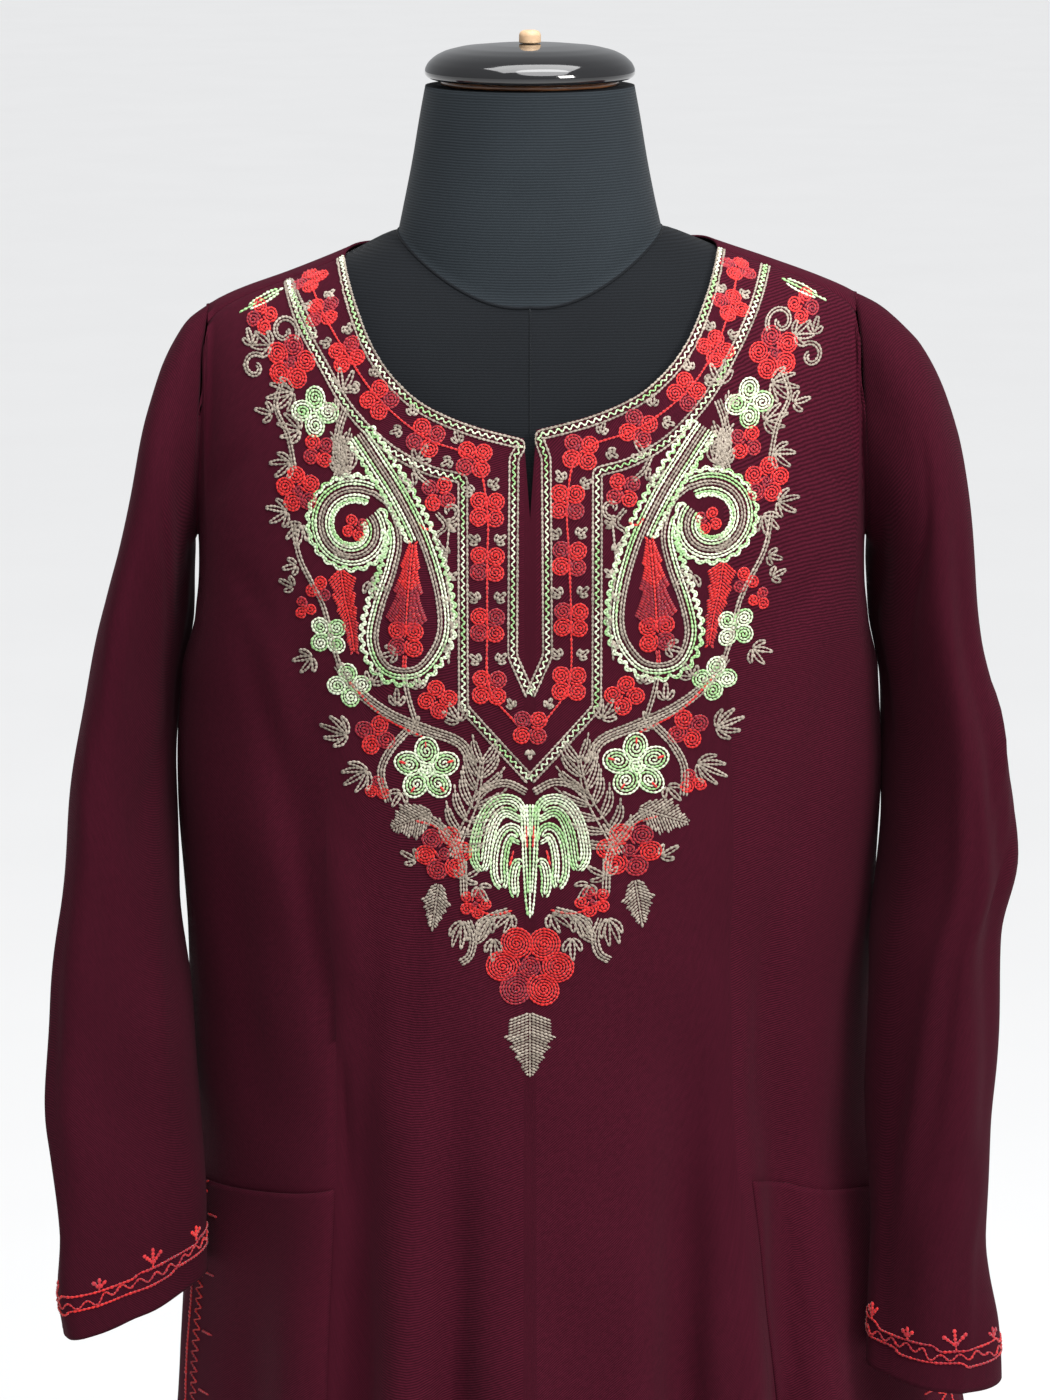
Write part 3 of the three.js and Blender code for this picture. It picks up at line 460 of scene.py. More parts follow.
def armhole_point(side, angle, shift):
    """A place on the armhole's flat loop. The angle is 0 on the ridge and half a turn at the underarm."""
    tip = panel_x(side, SHOULDER_TIP)
    underarm = panel_x(side, 1, UNDERARM_HEIGHT)
    top = hoop_point(tip, np.float64(0))[2]
    face = -1 if math.sin(angle) > 0 else 1
    around = math.acos(max(-1, min(1, math.cos(angle))))
    widest = turn_at_height(face, tip, ARMHOLE_WIDEST)
    if around <= math.pi / 2:
        place = hoop_point(tip, widest * around / (math.pi / 2))
    else:
        past = around - math.pi / 2
        depth = hoop_point(tip, widest)[1] * math.cos(past)
        place = np.array([0, depth, lerp(ARMHOLE_WIDEST, UNDERARM_HEIGHT, math.sin(past))])
    place[0] = lerp(tip, underarm, (top - place[2]) / (top - UNDERARM_HEIGHT)) + SIGNS[side] * shift
    return place


def armhole_seam_angle(side):
    tip = panel_x(side, SHOULDER_TIP)
    return float(turn_at_depth(tip, SEAM_DEPTH) / turn_at_height(-1, tip, ARMHOLE_WIDEST)) * math.pi / 2


def side_neck_height(side):
    x = panel_x(side, SIDE_NECK)
    return float(hoop_point(x, turn_at_depth(x, SEAM_DEPTH))[2])


def neck_turn(face, side, x, share):
    along = share / SIDE_NECK
    if face < 0:
        drop = neck_drop(along) + (SLIT_DEPTH if share == 0 else 0)
        return turn_at_height(face, x, side_neck_height(side) - drop)
    return turn_at_depth(x, lerp(SEAM_DEPTH, BACK_NECK_DEPTH, math.sqrt(1 - along**BACK_NECK_ROUNDNESS)))


# Heights of the rows below the yoke
row_heights = np.linspace(CHEST_HEIGHT, HEM_HEIGHT, round((CHEST_HEIGHT - HEM_HEIGHT) / ROW_STEP) + 1)


def panel_column(face, side, share, armhole_share):
    """One column of a panel, from its top edge to the hem."""
    chest_x = panel_x(side, share)
    steps = np.arange(YOKE_ROWS) / YOKE_ROWS
    if armhole_share > 0:
        angle = lerp(armhole_seam_angle(side), -face * math.pi, armhole_share)
        place = armhole_point(side, angle, -SEAM_GAP / 2)
        foot = body_point(face, chest_x, CHEST_HEIGHT)
        swing = steps * math.pi / 2
        blend = np.stack([1 - np.cos(swing), np.sin(swing), 1 - np.cos(swing)], -1)
        yoke = place + (foot - place) * blend
    else:
        on_neck = share < SIDE_NECK
        start = neck_turn(face, side, chest_x, share) if on_neck else turn_at_depth(chest_x, SEAM_DEPTH)
        yoke = hoop_point(chest_x, lerp(float(start), face * math.pi / 2, steps**YOKE_EASE))
        if not on_neck:
            yoke[0, 1] += face * SEAM_GAP / 2
    points = np.concatenate([yoke, body_point(face, panel_x(side, share, row_heights), row_heights)])
    if share == 1:
        points[:, 1] += face * SEAM_GAP / 2
    return points


def column_shares(with_slit):
    start = SLIT_EDGE if with_slit else 0
    steps = np.arange(0 if with_slit else 1, NECK_STEPS) / NECK_STEPS
    neck = lerp(start, SIDE_NECK, np.sin(math.pi / 2 * steps) ** NECK_EASE)
    shoulder = lerp(SIDE_NECK, SHOULDER_TIP, np.arange(SHOULDER_STEPS + 1) / SHOULDER_STEPS)
    along = np.arange(1, ARMHOLE_STEPS + 1) / ARMHOLE_STEPS
    armhole = np.sin(lerp(math.asin(SHOULDER_TIP), math.pi / 2, along))
    armhole[-1] = 1
    shares = [(0, 0)] + [(s, 0) for s in neck] + [(s, 0) for s in shoulder] + list(zip(armhole, along))
    return [(float(share), float(step)) for share, step in shares]


def panel_grid(face):
    """Columns of a panel from the left side seam to the right one, and which of them start at a seam."""
    shares = column_shares(face < 0)
    left = [panel_column(face, "left", *pair) for pair in reversed(shares[1:])]
    right = [panel_column(face, "right", *pair) for pair in shares]
    neck_columns = NECK_STEPS + (1 if face < 0 else 0)
    at_seam = [k >= neck_columns for k in range(len(shares))]
    return np.array(left + right), np.array(at_seam[:0:-1] + at_seam)


def grid_normals(grid, turn, closed):
    """Outward normals of a grid of points, each the mean of the faces round it by their area."""
    wide = np.concatenate([grid, grid[:1]]) if closed else grid
    across = wide[1:, 1:] - wide[:-1, :-1]
    down = wide[:-1, 1:] - wide[1:, :-1]
    face = np.cross(across, down) * turn
    normals = np.zeros_like(wide)
    for a in (slice(0, -1), slice(1, None)):
        for b in (slice(0, -1), slice(1, None)):
            normals[a, b] += face
    if closed:
        normals[0] += normals[-1]
        normals = normals[:-1]
    return unit(normals)


def lengths(grid, axis):
    """Distance travelled along the grid's lines in one direction."""
    steps = np.linalg.norm(np.diff(grid, axis=axis), axis=-1)
    start = np.zeros_like(steps.take([0], axis=axis))
    return np.concatenate([start, np.cumsum(steps, axis=axis)], axis=axis)


def crease_push(u, v, creases):
    """How far the listed creases push a place of the flat cloth at u across and v up."""
    push = np.zeros_like(u)
    for x1, z1, x2, z2, bend, width, depth in creases:
        length = math.hypot(x2 - x1, z2 - z1)
        ex, ez = (x2 - x1) / length, (z2 - z1) / length
        along = ((u - x1) * ex + (v - z1) * ez) / length
        beside = (u - x1) * -ez + (v - z1) * ex
        inside = np.clip(along, 0, 1)
        window = np.sin(math.pi * inside) ** 0.7
        aside = beside - bend * 4 * inside * (1 - inside)
        push += depth * window * np.exp(-((aside / width) ** 2))
    return push


def ripple(u, v, phase):
    """Slight unevenness of hanging cloth."""
    total = np.zeros_like(u)
    for i, (a, b, depth) in enumerate(RIPPLES):
        total += depth * np.sin(2 * math.pi * (u / (3.1 * a) + v / (7.3 * b)) + phase + 1.7 * i)
    return total


def quads(count, rows, closed, turn, offset=0):
    """Faces of a grid of points whose columns may close on themselves."""
    i, j = np.meshgrid(np.arange(count if closed else count - 1), np.arange(rows - 1), indexing="ij")
    a = i * rows + j
    b = (i + 1) % count * rows + j
    faces = np.stack([a, b, b + 1, a + 1], -1).reshape(-1, 4) + offset
    return faces if turn > 0 else faces[:, ::-1]


def edge_faces(count, rows, closed, turn, layer):
    """Faces that join the two skins of a thin wall round its edges."""
    line = np.arange(count if closed else count - 1)
    after = (line + 1) % count
    top = np.stack([line * rows, line * rows + layer, after * rows + layer, after * rows], -1)
    end = rows - 1
    low = np.stack([line * rows, after * rows, after * rows + layer, line * rows + layer], -1) + end
    faces = [top, low]
    if not closed:
        row = np.arange(rows - 1)
        last = (count - 1) * rows + row
        faces.append(np.stack([row, row + 1, row + 1 + layer, row + layer], -1))
        faces.append(np.stack([last, last + layer, last + 1 + layer, last + 1], -1))
    faces = np.concatenate(faces)
    return faces if turn > 0 else faces[:, ::-1]


def ring_faces(count, sides):
    """Faces that join rings of places and close both ends."""
    faces = []
    for r in range(count - 1):
        for i in range(sides):
            j = (i + 1) % sides
            faces.append([r * sides + i, r * sides + j, (r + 1) * sides + j, (r + 1) * sides + i])
    faces.append(list(range(sides))[::-1])
    faces.append([(count - 1) * sides + i for i in range(sides)])
    return faces


def new_mesh(name, points, faces, material, node=None):
    """A smooth piece from points in millimetres, which rides on the body and may stand for a solid."""
    mesh = bpy.data.meshes.new(name)
    mesh.from_pydata((np.asarray(points) * MM).tolist(), [], [list(map(int, face)) for face in faces])
    mesh.shade_smooth()
    mesh.update()
    mesh.materials.append(material)
    piece = place_object(name, mesh)
    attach(piece, "root")
    if node:
        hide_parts(node)
    return piece


def place_object(name, data, location=(0, 0, 0), turned_by=(0, 0, 0)):
    thing = bpy.data.objects.new(name, data)
    thing.location = location
    thing.rotation_euler = turned_by
    bpy.context.scene.collection.objects.link(thing)
    return thing


def shell(name, grid, turn, closed, thickness, material, across, down):
    """A thin wall on a grid of outer points, with the cloth's flat measures as its texture places."""
    count, rows = grid.shape[:2]
    inner = grid - grid_normals(grid, turn, closed) * thickness
    layer = count * rows
    points = np.concatenate([grid.reshape(-1, 3), inner.reshape(-1, 3)])
    faces = np.concatenate([
        quads(count, rows, closed, turn),
        quads(count, rows, closed, -turn, layer),
        edge_faces(count, rows, closed, turn, layer),
    ])
    piece = new_mesh(name, points, faces, material, name.removesuffix("_cloth"))
    flat = np.stack([across, down], -1).reshape(-1, 2) * MM
    flat = np.concatenate([flat, flat])
    corners = np.empty(len(piece.data.loops), np.int32)
    piece.data.loops.foreach_get("vertex_index", corners)
    layer_uv = piece.data.uv_layers.new(name="cut")
    layer_uv.data.foreach_set("uv", flat[corners].astype(np.float32).ravel())
    return piece


class Surface:
    """The outer skin of a piece of cloth, for laying stitches on."""

    def __init__(self, grid, turn, closed):
        count, rows = grid.shape[:2]
        faces = quads(count, rows, closed, turn).tolist()
        self.tree = BVHTree.FromPolygons(grid.reshape(-1, 3).tolist(), faces)

    def snap(self, points):
        """The nearest places on the cloth, and its outward directions there."""
        found = [self.tree.find_nearest(Vector(p)) for p in points]
        return np.array([f[0] for f in found]), np.array([f[1] for f in found])

    def lift(self, flat):
        """The places on the cloth that lie straight behind places given across and up."""
        found = []
        for x, z in flat:
            hit = self.tree.ray_cast(Vector((x, -600, z)), Vector((0, 1, 0)))[0]
            found.append(hit if hit is not None else self.tree.find_nearest(Vector((x, -90, z)))[0])
        return np.array(found)


# Materials


class Value:
    """A number, colour or place that changes over a material. It adds and multiplies as a number does."""

    def __init__(self, tree, socket):
        self.tree = tree
        self.socket = socket

    def feed(self, socket):
        self.tree.links.new(self.socket, socket)

    def made(self, kind, inputs, output=0, **settings):
        """What a new node gives for these inputs."""
        node = self.tree.nodes.new(kind)
        for name, value in settings.items():
            setattr(node, name, value)
        for key, value in inputs.items():
            if isinstance(value, Value):
                value.feed(node.inputs[key])
            else:
                node.inputs[key].default_value = value
        return Value(self.tree, node.outputs[output])

    def __add__(self, other):
        return self.made("ShaderNodeMath", {0: self, 1: other}, operation="ADD")

    def __mul__(self, other):
        return self.made("ShaderNodeMath", {0: self, 1: other}, operation="MULTIPLY")

    def wave(self):
        """The value's sine, from 0 to 1."""
        return self.made("ShaderNodeMath", {0: self}, operation="SINE") * 0.5 + 0.5

    def part(self, axis):
        return self.made("ShaderNodeSeparateXYZ", {0: self}, axis)

    def noise(self, scale, detail=3.0, roughness=0.55):
        inputs = {"Vector": self, "Scale": scale, "Detail": detail, "Roughness": roughness}
        return self.made("ShaderNodeTexNoise", inputs, "Fac")

    def stretched(self, low, high):
        return self.made("ShaderNodeMapRange", {"Value": self, "From Min": low, "From Max": high})

    def mixed(self, a, b):
        """A colour between two colours, by this share."""
        return self.made("ShaderNodeMix", {0: self, 6: a, 7: b}, 2, data_type="RGBA")


def material(name, roughness, cut=False, **values):
    """A new material, and the place that its patterns go by: on the object, or on the flat cut cloth."""
    made = bpy.data.materials.new(name)
    made.use_nodes = True
    tree = made.node_tree
    shader = tree.nodes["Principled BSDF"]
    shader.inputs["Roughness"].default_value = roughness
    for key, value in values.items():
        shader.inputs[key.replace("_", " ")].default_value = value
    source = tree.nodes.new("ShaderNodeUVMap" if cut else "ShaderNodeTexCoord")
    if cut:
        source.uv_map = "cut"
    return made, Value(tree, source.outputs[0 if cut else "Object"])


def finished(made, colour, height, distance, strength):
    """The material with its colour, and its height as a bump."""
    shader = made.node_tree.nodes["Principled BSDF"]
    colour.feed(shader.inputs["Base Color"])
    relief = {"Height": height, "Distance": distance * MM, "Strength": strength}
    height.made("ShaderNodeBump", relief).feed(shader.inputs["Normal"])
    return made


def wool_material(name, twill_depth):
    """Wine wool twill with a slight nap. Its lines fall to the right."""
    nap = {"Sheen_Weight": 0.03, "Sheen_Roughness": 0.5, "Sheen_Tint": WINE_SHEEN}
    made, place = material(name, 0.9, True, Specular_IOR_Level=0.05, **nap)
    slope = math.radians(TWILL_SLOPE)
    turns = 2 * math.pi / (TWILL_PITCH * MM)
    lines = place.part(0) * (turns * math.sin(slope)) + place.part(1) * (-turns * math.cos(slope))
    wale = (lines + place.noise(130, 2) * 5.0).wave()
    fibres = place.noise(1500, 3, 0.7)
    patches = place.noise(9).stretched(0.3, 0.7)
    slubs = place.noise(320, 2).stretched(0.3, 0.7)
    lit = (wale * twill_depth).mixed(patches.mixed(WINE_DEEP, WINE), WINE_LIT)
    shade = (slubs * 0.3).mixed(lit, WINE_SLUB)
    colour = (fibres * 0.12).mixed(shade, WINE_FIBRE)
    return finished(made, colour, wale + fibres * 1.2, 0.16, 0.55)


def thread_material(name, dark, light):
    """Chain-stitch yarn whose colour changes along its length."""
    made, place = material(name, 0.58, Sheen_Weight=0.35, Sheen_Roughness=0.4, Specular_IOR_Level=0.45)
    tone = place.made("ShaderNodeAttribute", {}, "Fac", attribute_name="tone")
    fibres = place.noise(2200, 3, 0.7)
    shadow = tuple(0.45 * c for c in dark[:3]) + (1,)
    colour = (fibres * 0.25).mixed(tone.mixed(dark, light), shadow)
    return finished(made, colour, fibres, 0.2, 0.5)


def jersey_material(name, dark, light):
    """Black jersey with fine level ribs."""
    made, place = material(name, 0.8, Sheen_Weight=0.07, Sheen_Roughness=0.4, Specular_IOR_Level=0.1)
    rib = (place.part(2) * (2 * math.pi / (RIB_PITCH * MM)) + place.noise(60, 2) * 4.0).wave()
    fibres = place.noise(1300, 3, 0.7)
    cloudy = place.noise(14).stretched(0.3, 0.7)
    weave = rib * 0.45 + fibres * 0.4 + cloudy * 0.15
    return finished(made, weave.mixed(dark, light), rib + fibres, 0.16, 0.5)


def plain_material(name, dark, light, scale, roughness, **values):
    made, place = material(name, roughness, **values)
    grain = place.noise(scale, 4)
    return finished(made, grain.mixed(dark, light), grain, 0.05, 0.2)


def wood_material():
    made, place = material("rim_wood", 0.3, Coat_Weight=0.6)
    squeezed = place.made("ShaderNodeMapping", {"Vector": place, "Scale": (60, 60, 900)})
    grain = squeezed.noise(1.0, 5).stretched(0.35, 0.65)
    colour = grain.mixed((0.055, 0.018, 0.006, 1), (0.32, 0.12, 0.04, 1))
    return finished(made, colour, grain, 0.1, 0.3)


wool = wool_material("wool_twill", 0.85)
wool_plain = wool_material("wool_twill_soft", 0.5)
threads = {
    "red": thread_material("red_yarn", (0.30, 0.004, 0.022, 1), (0.76, 0.013, 0.010, 1)),
    "green": thread_material("green_yarn", (0.36, 0.64, 0.26, 1), (0.86, 0.93, 0.72, 1)),
    "taupe": thread_material("taupe_yarn", (0.21, 0.17, 0.13, 1), (0.50, 0.43, 0.35, 1)),
}
jersey = jersey_material("black_jersey", (0.0028, 0.0033, 0.0042, 1), (0.0105, 0.0125, 0.0155, 1))
jersey_neck = jersey_material("neck_jersey", (0.0060, 0.0078, 0.0098, 1), (0.030, 0.038, 0.045, 1))
lacquer = plain_material(
    "gloss_lacquer", (0.006, 0.006, 0.007, 1), (0.012, 0.012, 0.013, 1), 40, 0.09, Coat_Weight=0.8
)
bare_wood = plain_material("bare_wood", (0.42, 0.25, 0.13, 1), (0.72, 0.52, 0.33, 1), 260, 0.55)
satin_black = plain_material(
    "satin_black", (0.010, 0.010, 0.012, 1), (0.022, 0.022, 0.025, 1), 120, 0.36, Metallic=0.5
)

# Camera and light


def add_camera():
    camera = bpy.data.cameras.new("photo_camera")
    camera.sensor_width = SENSOR
    camera.lens = SENSOR * CAMERA_DISTANCE / (PHOTO_SCALE * PHOTO_HEIGHT)
    camera.clip_end = 100
    pitch = math.radians(CAMERA_PITCH)
    away = Vector((0, -math.cos(pitch), math.sin(pitch))) * CAMERA_DISTANCE
    location = (Vector(CAMERA_TARGET) + away) * MM
    bpy.context.scene.camera = place_object("photo_camera", camera, location, (math.pi / 2 - pitch, 0, 0))


def add_light(name, place, target, size, power, colour=(1, 1, 1)):
    light = bpy.data.lights.new(name, "AREA")
    light.shape = "RECTANGLE"
    light.size, light.size_y = size
    light.energy = power
    light.color = colour
    heading = Vector(target) - Vector(place)
    place_object(name, light, place, heading.to_track_quat("-Z", "Y").to_euler())


def add_sun(elevation, azimuth, spread, power):
    """A very large soft light, far away. Azimuth 0 is straight in front, and positive is to the right."""
    light = bpy.data.lights.new("window", "SUN")
    light.energy = power
    light.angle = math.radians(spread)
    up, aside = math.radians(elevation), math.radians(azimuth)
    towards = Vector((math.sin(aside) * math.cos(up), -math.cos(aside) * math.cos(up), math.sin(up)))
    place_object("window", light, turned_by=towards.to_track_quat("Z", "Y").to_euler())


def add_stage():
    world = bpy.data.worlds.new("studio")
    world.use_nodes = True
    background = world.node_tree.nodes["Background"]
    background.inputs["Color"].default_value = SKY
    background.inputs["Strength"].default_value = SKY_STRENGTH
    bpy.context.scene.world = world
    floor_material = plain_material("pale_floor", (0.86, 0.86, 0.86, 1), (0.9, 0.9, 0.9, 1), 2, 0.9)
    turns = np.linspace(0, 2 * math.pi, FLOOR_SIDES + 1)[:-1]
    ring = [(FLOOR_RADIUS * math.cos(a), FLOOR_RADIUS * math.sin(a), 0) for a in turns]
    floor = new_mesh("floor", ring, [list(range(FLOOR_SIDES))], floor_material)
    add_sun(**WINDOW)
    add_light("key", (1.3, -1.5, 2.2), (0, 0, 1.2), (0.6, 0.6), 34, (1, 0.98, 0.95))
    add_light("top", (0.05, -0.3, 2.7), (0, 0, 1.3), (1.5, 0.9), 22)
    bpy.context.scene.view_settings.view_transform = "Standard"


# Garment pieces


def cloth_panel(name, face, creases, phase):
    grid, at_seam = panel_grid(face)
    across, down = lengths(grid, 0), lengths(grid, 1)
    from_side = np.minimum(across, across[-1] - across)
    near = np.minimum(from_side, np.where(at_seam[:, None], down, 1e3))
    roll = -SEAM_ROLL * np.exp(-((near / SEAM_ROLL_WIDTH) ** 2))
    x, z = grid[..., 0], grid[..., 2]
    outer = np.clip(np.abs(x) / half_width(x, np.minimum(z, CHEST_HEIGHT)), 0, 1) ** UNDERARM_POWER
    fullness = UNDERARM_FULLNESS * outer * np.exp(-(((z - UNDERARM_FOLD) / UNDERARM_SPREAD) ** 2))
    grid[..., 0] += np.sign(x) * fullness
    uneven = crease_push(x, z, creases) + ripple(x, z, phase) * ramp(z, *RIPPLE_GROWS)
    push = roll + np.clip(near / PANEL_SETTLE, 0, 1) * uneven
    grid = grid + grid_normals(grid, face, False) * push[..., None]
    return shell(name, grid, face, False, CLOTH, wool, across - across[len(grid) // 2], -down), grid


def sleeve_curves(side):
    """Curves of a sleeve's sections by share of its length, and the first section's share."""
    rows = SLEEVES[side]
    table = [((i + 1) / len(rows), *row) for i, row in enumerate(rows)]
    return table_curves(table, SLEEVE_COLUMNS), table[0][0]


def sleeve_point(side, curves, share, angle):
    sign = SIGNS[side]
    along = np.cos(angle)
    forward = np.sin(angle + np.radians(curves["lean"](share)))
    half_x = (curves["outX"](share) - curves["inX"](share)) / 2
    half_z = (curves["outZ"](share) - curves["inZ"](share)) / 2
    half_depth = (curves["back"](share) - curves["front"](share)) / 2
    out = np.stack([sign * along * half_x, -forward * half_depth, np.zeros_like(along)], -1)
    middle = np.stack([
        np.full_like(along, sign * (curves["inX"](share) + half_x)),
        np.full_like(along, curves["front"](share) + half_depth),
        curves["inZ"](share) + half_z * (1 + along),
    ], -1)
    push = np.zeros_like(angle)
    for at, turn, start, end, width, depth in SLEEVE_FOLDS[side]:
        down = (share - start) / (end - start)
        if 0 < down < 1:
            apart = np.degrees(angle) - at - turn * down
            apart -= 360 * np.round(apart / 360)
            push += depth * math.sin(math.pi * down) * np.exp(-((apart / width) ** 2))
    return middle + out + unit(out) * push[:, None]


def cloth_sleeve(side, phase):
    turn = SIGNS[side]
    curves, first = sleeve_curves(side)
    angles = np.arange(SLEEVE_SIDES) / SLEEVE_SIDES * 2 * math.pi
    loop = np.array([armhole_point(side, a, SEAM_GAP / 2) for a in angles])
    head = sleeve_point(side, curves, first, angles)
    rings = [lerp(loop, head, t) for t in np.arange(SLEEVE_HEAD_ROWS) / SLEEVE_HEAD_ROWS]
    rings += [sleeve_point(side, curves, share, angles) for share in np.linspace(first, 1, SLEEVE_ROWS)]
    grid = np.stack(rings, 1)
    for _ in range(SLEEVE_EASING):
        eased = (grid[:, :-2] + 2 * grid[:, 1:-1] + grid[:, 2:]) / 4
        grid[:, 1:SLEEVE_EASED_ROWS] = eased[:, : SLEEVE_EASED_ROWS - 1]
    down = lengths(grid, 1)
    round_it = lengths(np.concatenate([grid, grid[:1]]), 0)[:-1]
    roll = -SEAM_ROLL * np.exp(-((down / SEAM_ROLL_WIDTH) ** 2))
    uneven = crease_push(round_it, down, SLEEVE_CREASES[side]) + ripple(round_it, down, phase)
    push = roll + np.clip(down / SLEEVE_SETTLE, 0, 1) * uneven
    grid = grid + grid_normals(grid, turn, True) * push[..., None]
    return shell(f"sleeve_{side}_cloth", grid, turn, True, CLOTH, wool_plain, round_it, -down), grid


def cloth_pocket(side, front_grid):
    """A patch pocket on the front, from the front's own fine surface moved out."""
    shares = np.linspace(POCKET_INNER_SHARES[side], POCKET_OUTER_SHARE, POCKET_COLUMNS)
    columns = []
    for share, top in zip(shares, np.linspace(*POCKET_TOPS[side], POCKET_COLUMNS)):
        heights = np.linspace(top, POCKET_BOTTOM, POCKET_ROWS)
        columns.append(body_point(-1, panel_x(side, share, heights), heights))
    grid = np.stack(columns[:: SIGNS[side]])
    normals = grid_normals(grid, -1, False)
    found, _ = Surface(front_grid, -1, False).snap(grid.reshape(-1, 3))
    grid = found.reshape(grid.shape) + normals * (POCKET_LIFT + POCKET_CLOTH)
    across, down = lengths(grid, 0), lengths(grid, 1)
    edge = np.minimum(np.minimum(across, across[-1] - across), down[:, -1:] - down)
    grid = grid - normals * (POCKET_EDGE_DROP * np.exp(-((edge / POCKET_EDGE_WIDTH) ** 2)))[..., None]
    return shell(f"pocket_{side}_cloth", grid, -1, False, POCKET_CLOTH, wool, across, -down), grid


# Dress form


def form_rings():
    """Rings of the form from the bottom to the top of the neck, and the index of the neck's base seam."""
    angles = np.arange(FORM_SIDES) / FORM_SIDES * 2 * math.pi
    cos, sin = np.cos(angles), np.sin(angles)
    torso = table_curves(TORSO, TORSO_COLUMNS)
    chest = {name: float(curve(CHEST_HEIGHT)) for name, curve in torso.items()}

    def oval(half, front, back, height):
        x = half * np.sign(cos) * np.abs(cos) ** FORM_CORNERS
        edge = np.where(sin < 0, front, back)
        y = edge * (1 - np.clip(np.abs(x) / half, 0, 1) ** TORSO_SQUARE) ** TORSO_SOFT
        return np.stack([x, y, np.full_like(x, height)], -1)

    heights = np.linspace(TORSO[0][0], CHEST_HEIGHT, TORSO_RINGS)
    rings = [oval(torso["half"](h), torso["front"](h), torso["back"](h), h) for h in heights]
    chest_ring = oval(chest["half"], chest["front"], chest["back"], CHEST_HEIGHT)
    neck_depth = np.where(sin < 0, NECK_FRONT, NECK_BACK)
    neck_ring = np.stack([NECK_HALF_WIDTH * cos, neck_depth * sin, 0 * cos], -1)
    for turn in np.radians(np.linspace(4, 90, SHOULDER_RINGS)):
        ring = lerp(neck_ring, chest_ring, math.cos(turn))
        x, y = ring[:, 0], ring[:, 1]
        rise = ridge_height(x) - FORM_CLEARANCE - CHEST_HEIGHT
        past = np.clip((np.abs(x) - FORM_SHOULDER_START) / (chest["half"] - FORM_SHOULDER_START), 0, 1)
        rise = rise * np.sqrt(np.clip(1 - past**FORM_SHOULDER_POWER, 0, 1))
        edge = np.where(y < RIDGE_DEPTH, chest["front"], chest["back"])
        share = np.clip(np.abs(x) / chest["half"], 0, 1)
        reach = np.maximum(1, np.abs(edge * (1 - share**TORSO_SQUARE) ** TORSO_SOFT - RIDGE_DEPTH))
        away = np.clip(np.abs(y - RIDGE_DEPTH) / reach, 0, 1)
        ring[:, 2] = CHEST_HEIGHT + rise * np.sqrt(1 - away**HOOP_ROUNDNESS)
        rings.append(ring)
    seam = len(rings) - 1
    neck = table_curves(NECK, NECK_COLUMNS)
    neck_rings = []
    for height in np.linspace(NECK[0][0], NECK_TOP, NECK_RINGS):
        edge = np.where(sin < 0, -neck["front"](height), neck["back"](height))
        place = [neck["half"](height) * cos, edge * sin, height - neck["dip"](height) * sin**2]
        neck_rings.append(np.stack(place, -1))
    joining = [lerp(rings[-1], neck_rings[0], t) for t in (0.25, 0.5, 0.75)]
    return np.array(rings + joining + neck_rings), seam


def add_form():
    rings, seam = form_rings()
    for _ in range(FORM_EASING):
        rings[seam + 1 : -1] = (rings[seam : -2] + 2 * rings[seam + 1 : -1] + rings[seam + 2 :]) / 4
    count, sides = rings.shape[:2]
    points = rings.reshape(-1, 3)
    form = new_mesh("form_jersey", points, ring_faces(count, sides), jersey, "form_body")
    form.data.materials.append(jersey_neck)
    for polygon in form.data.polygons:
        if polygon.index // sides >= seam and polygon.index < (count - 1) * sides:
            polygon.material_index = 1
    return rings, seam


def tube(path, radius, sides=8):
    """Points and faces of a round tube along a line of places."""
    forward = unit(np.gradient(path, axis=0))
    up = np.tile([0.0, 0, 1], (len(path), 1))
    up[np.abs(forward[:, 2]) > 0.9] = [0, -1, 0]
    aside = unit(np.cross(forward, up))
    over = np.cross(aside, forward)
    angles = np.arange(sides) / sides * 2 * math.pi
    ring = np.cos(angles)[None, :, None] * aside[:, None] + np.sin(angles)[None, :, None] * over[:, None]
    faces = [face[:1] + face[:0:-1] for face in ring_faces(len(path), sides)]
    return (path[:, None] + radius * ring).reshape(-1, 3), faces


def add_form_seams(rings, seam):
    """Welts of the form's neck seam and its centre front seam."""
    loop = np.concatenate([rings[seam], rings[seam][:1]])
    centre = rings[CENTRE_SEAM_START : seam + 1, rings.shape[1] * 3 // 4]
    points, faces = tube(loop + [0, 0, 0.1], NECK_WELT)
    more_points, more_faces = tube(centre + [0, -0.1, 0.1], CENTRE_WELT)
    faces += [[len(points) + i for i in face] for face in more_faces]
    new_mesh("form_seams", np.concatenate([points, more_points]), faces, jersey)


def turned(name, profile, bottom, material, node):
    """A piece turned about the upright axis from (radius, height) places."""
    angles = np.arange(TURNED_SIDES) / TURNED_SIDES * 2 * math.pi
    points = [(r * math.cos(a), r * math.sin(a), bottom + z) for r, z in profile for a in angles]
    new_mesh(name, points, ring_faces(len(profile), TURNED_SIDES), material, node)


def rounded(profile, radius, steps=4):
    """A profile whose inner corners are replaced by short curves."""
    out = [profile[0]]
    for before, corner, after in zip(profile, profile[1:], profile[2:]):
        to_before = Vector(before) - Vector(corner)
        to_after = Vector(after) - Vector(corner)
        reach = min(radius, to_before.length / 2.2, to_after.length / 2.2)
        a = Vector(corner) + to_before.normalized() * reach
        b = Vector(corner) + to_after.normalized() * reach
        for i in range(steps + 1):
            t = i / steps
            out.append(tuple(a * (1 - t) ** 2 + Vector(corner) * 2 * t * (1 - t) + b * t**2))
    out.append(profile[-1])
    return out


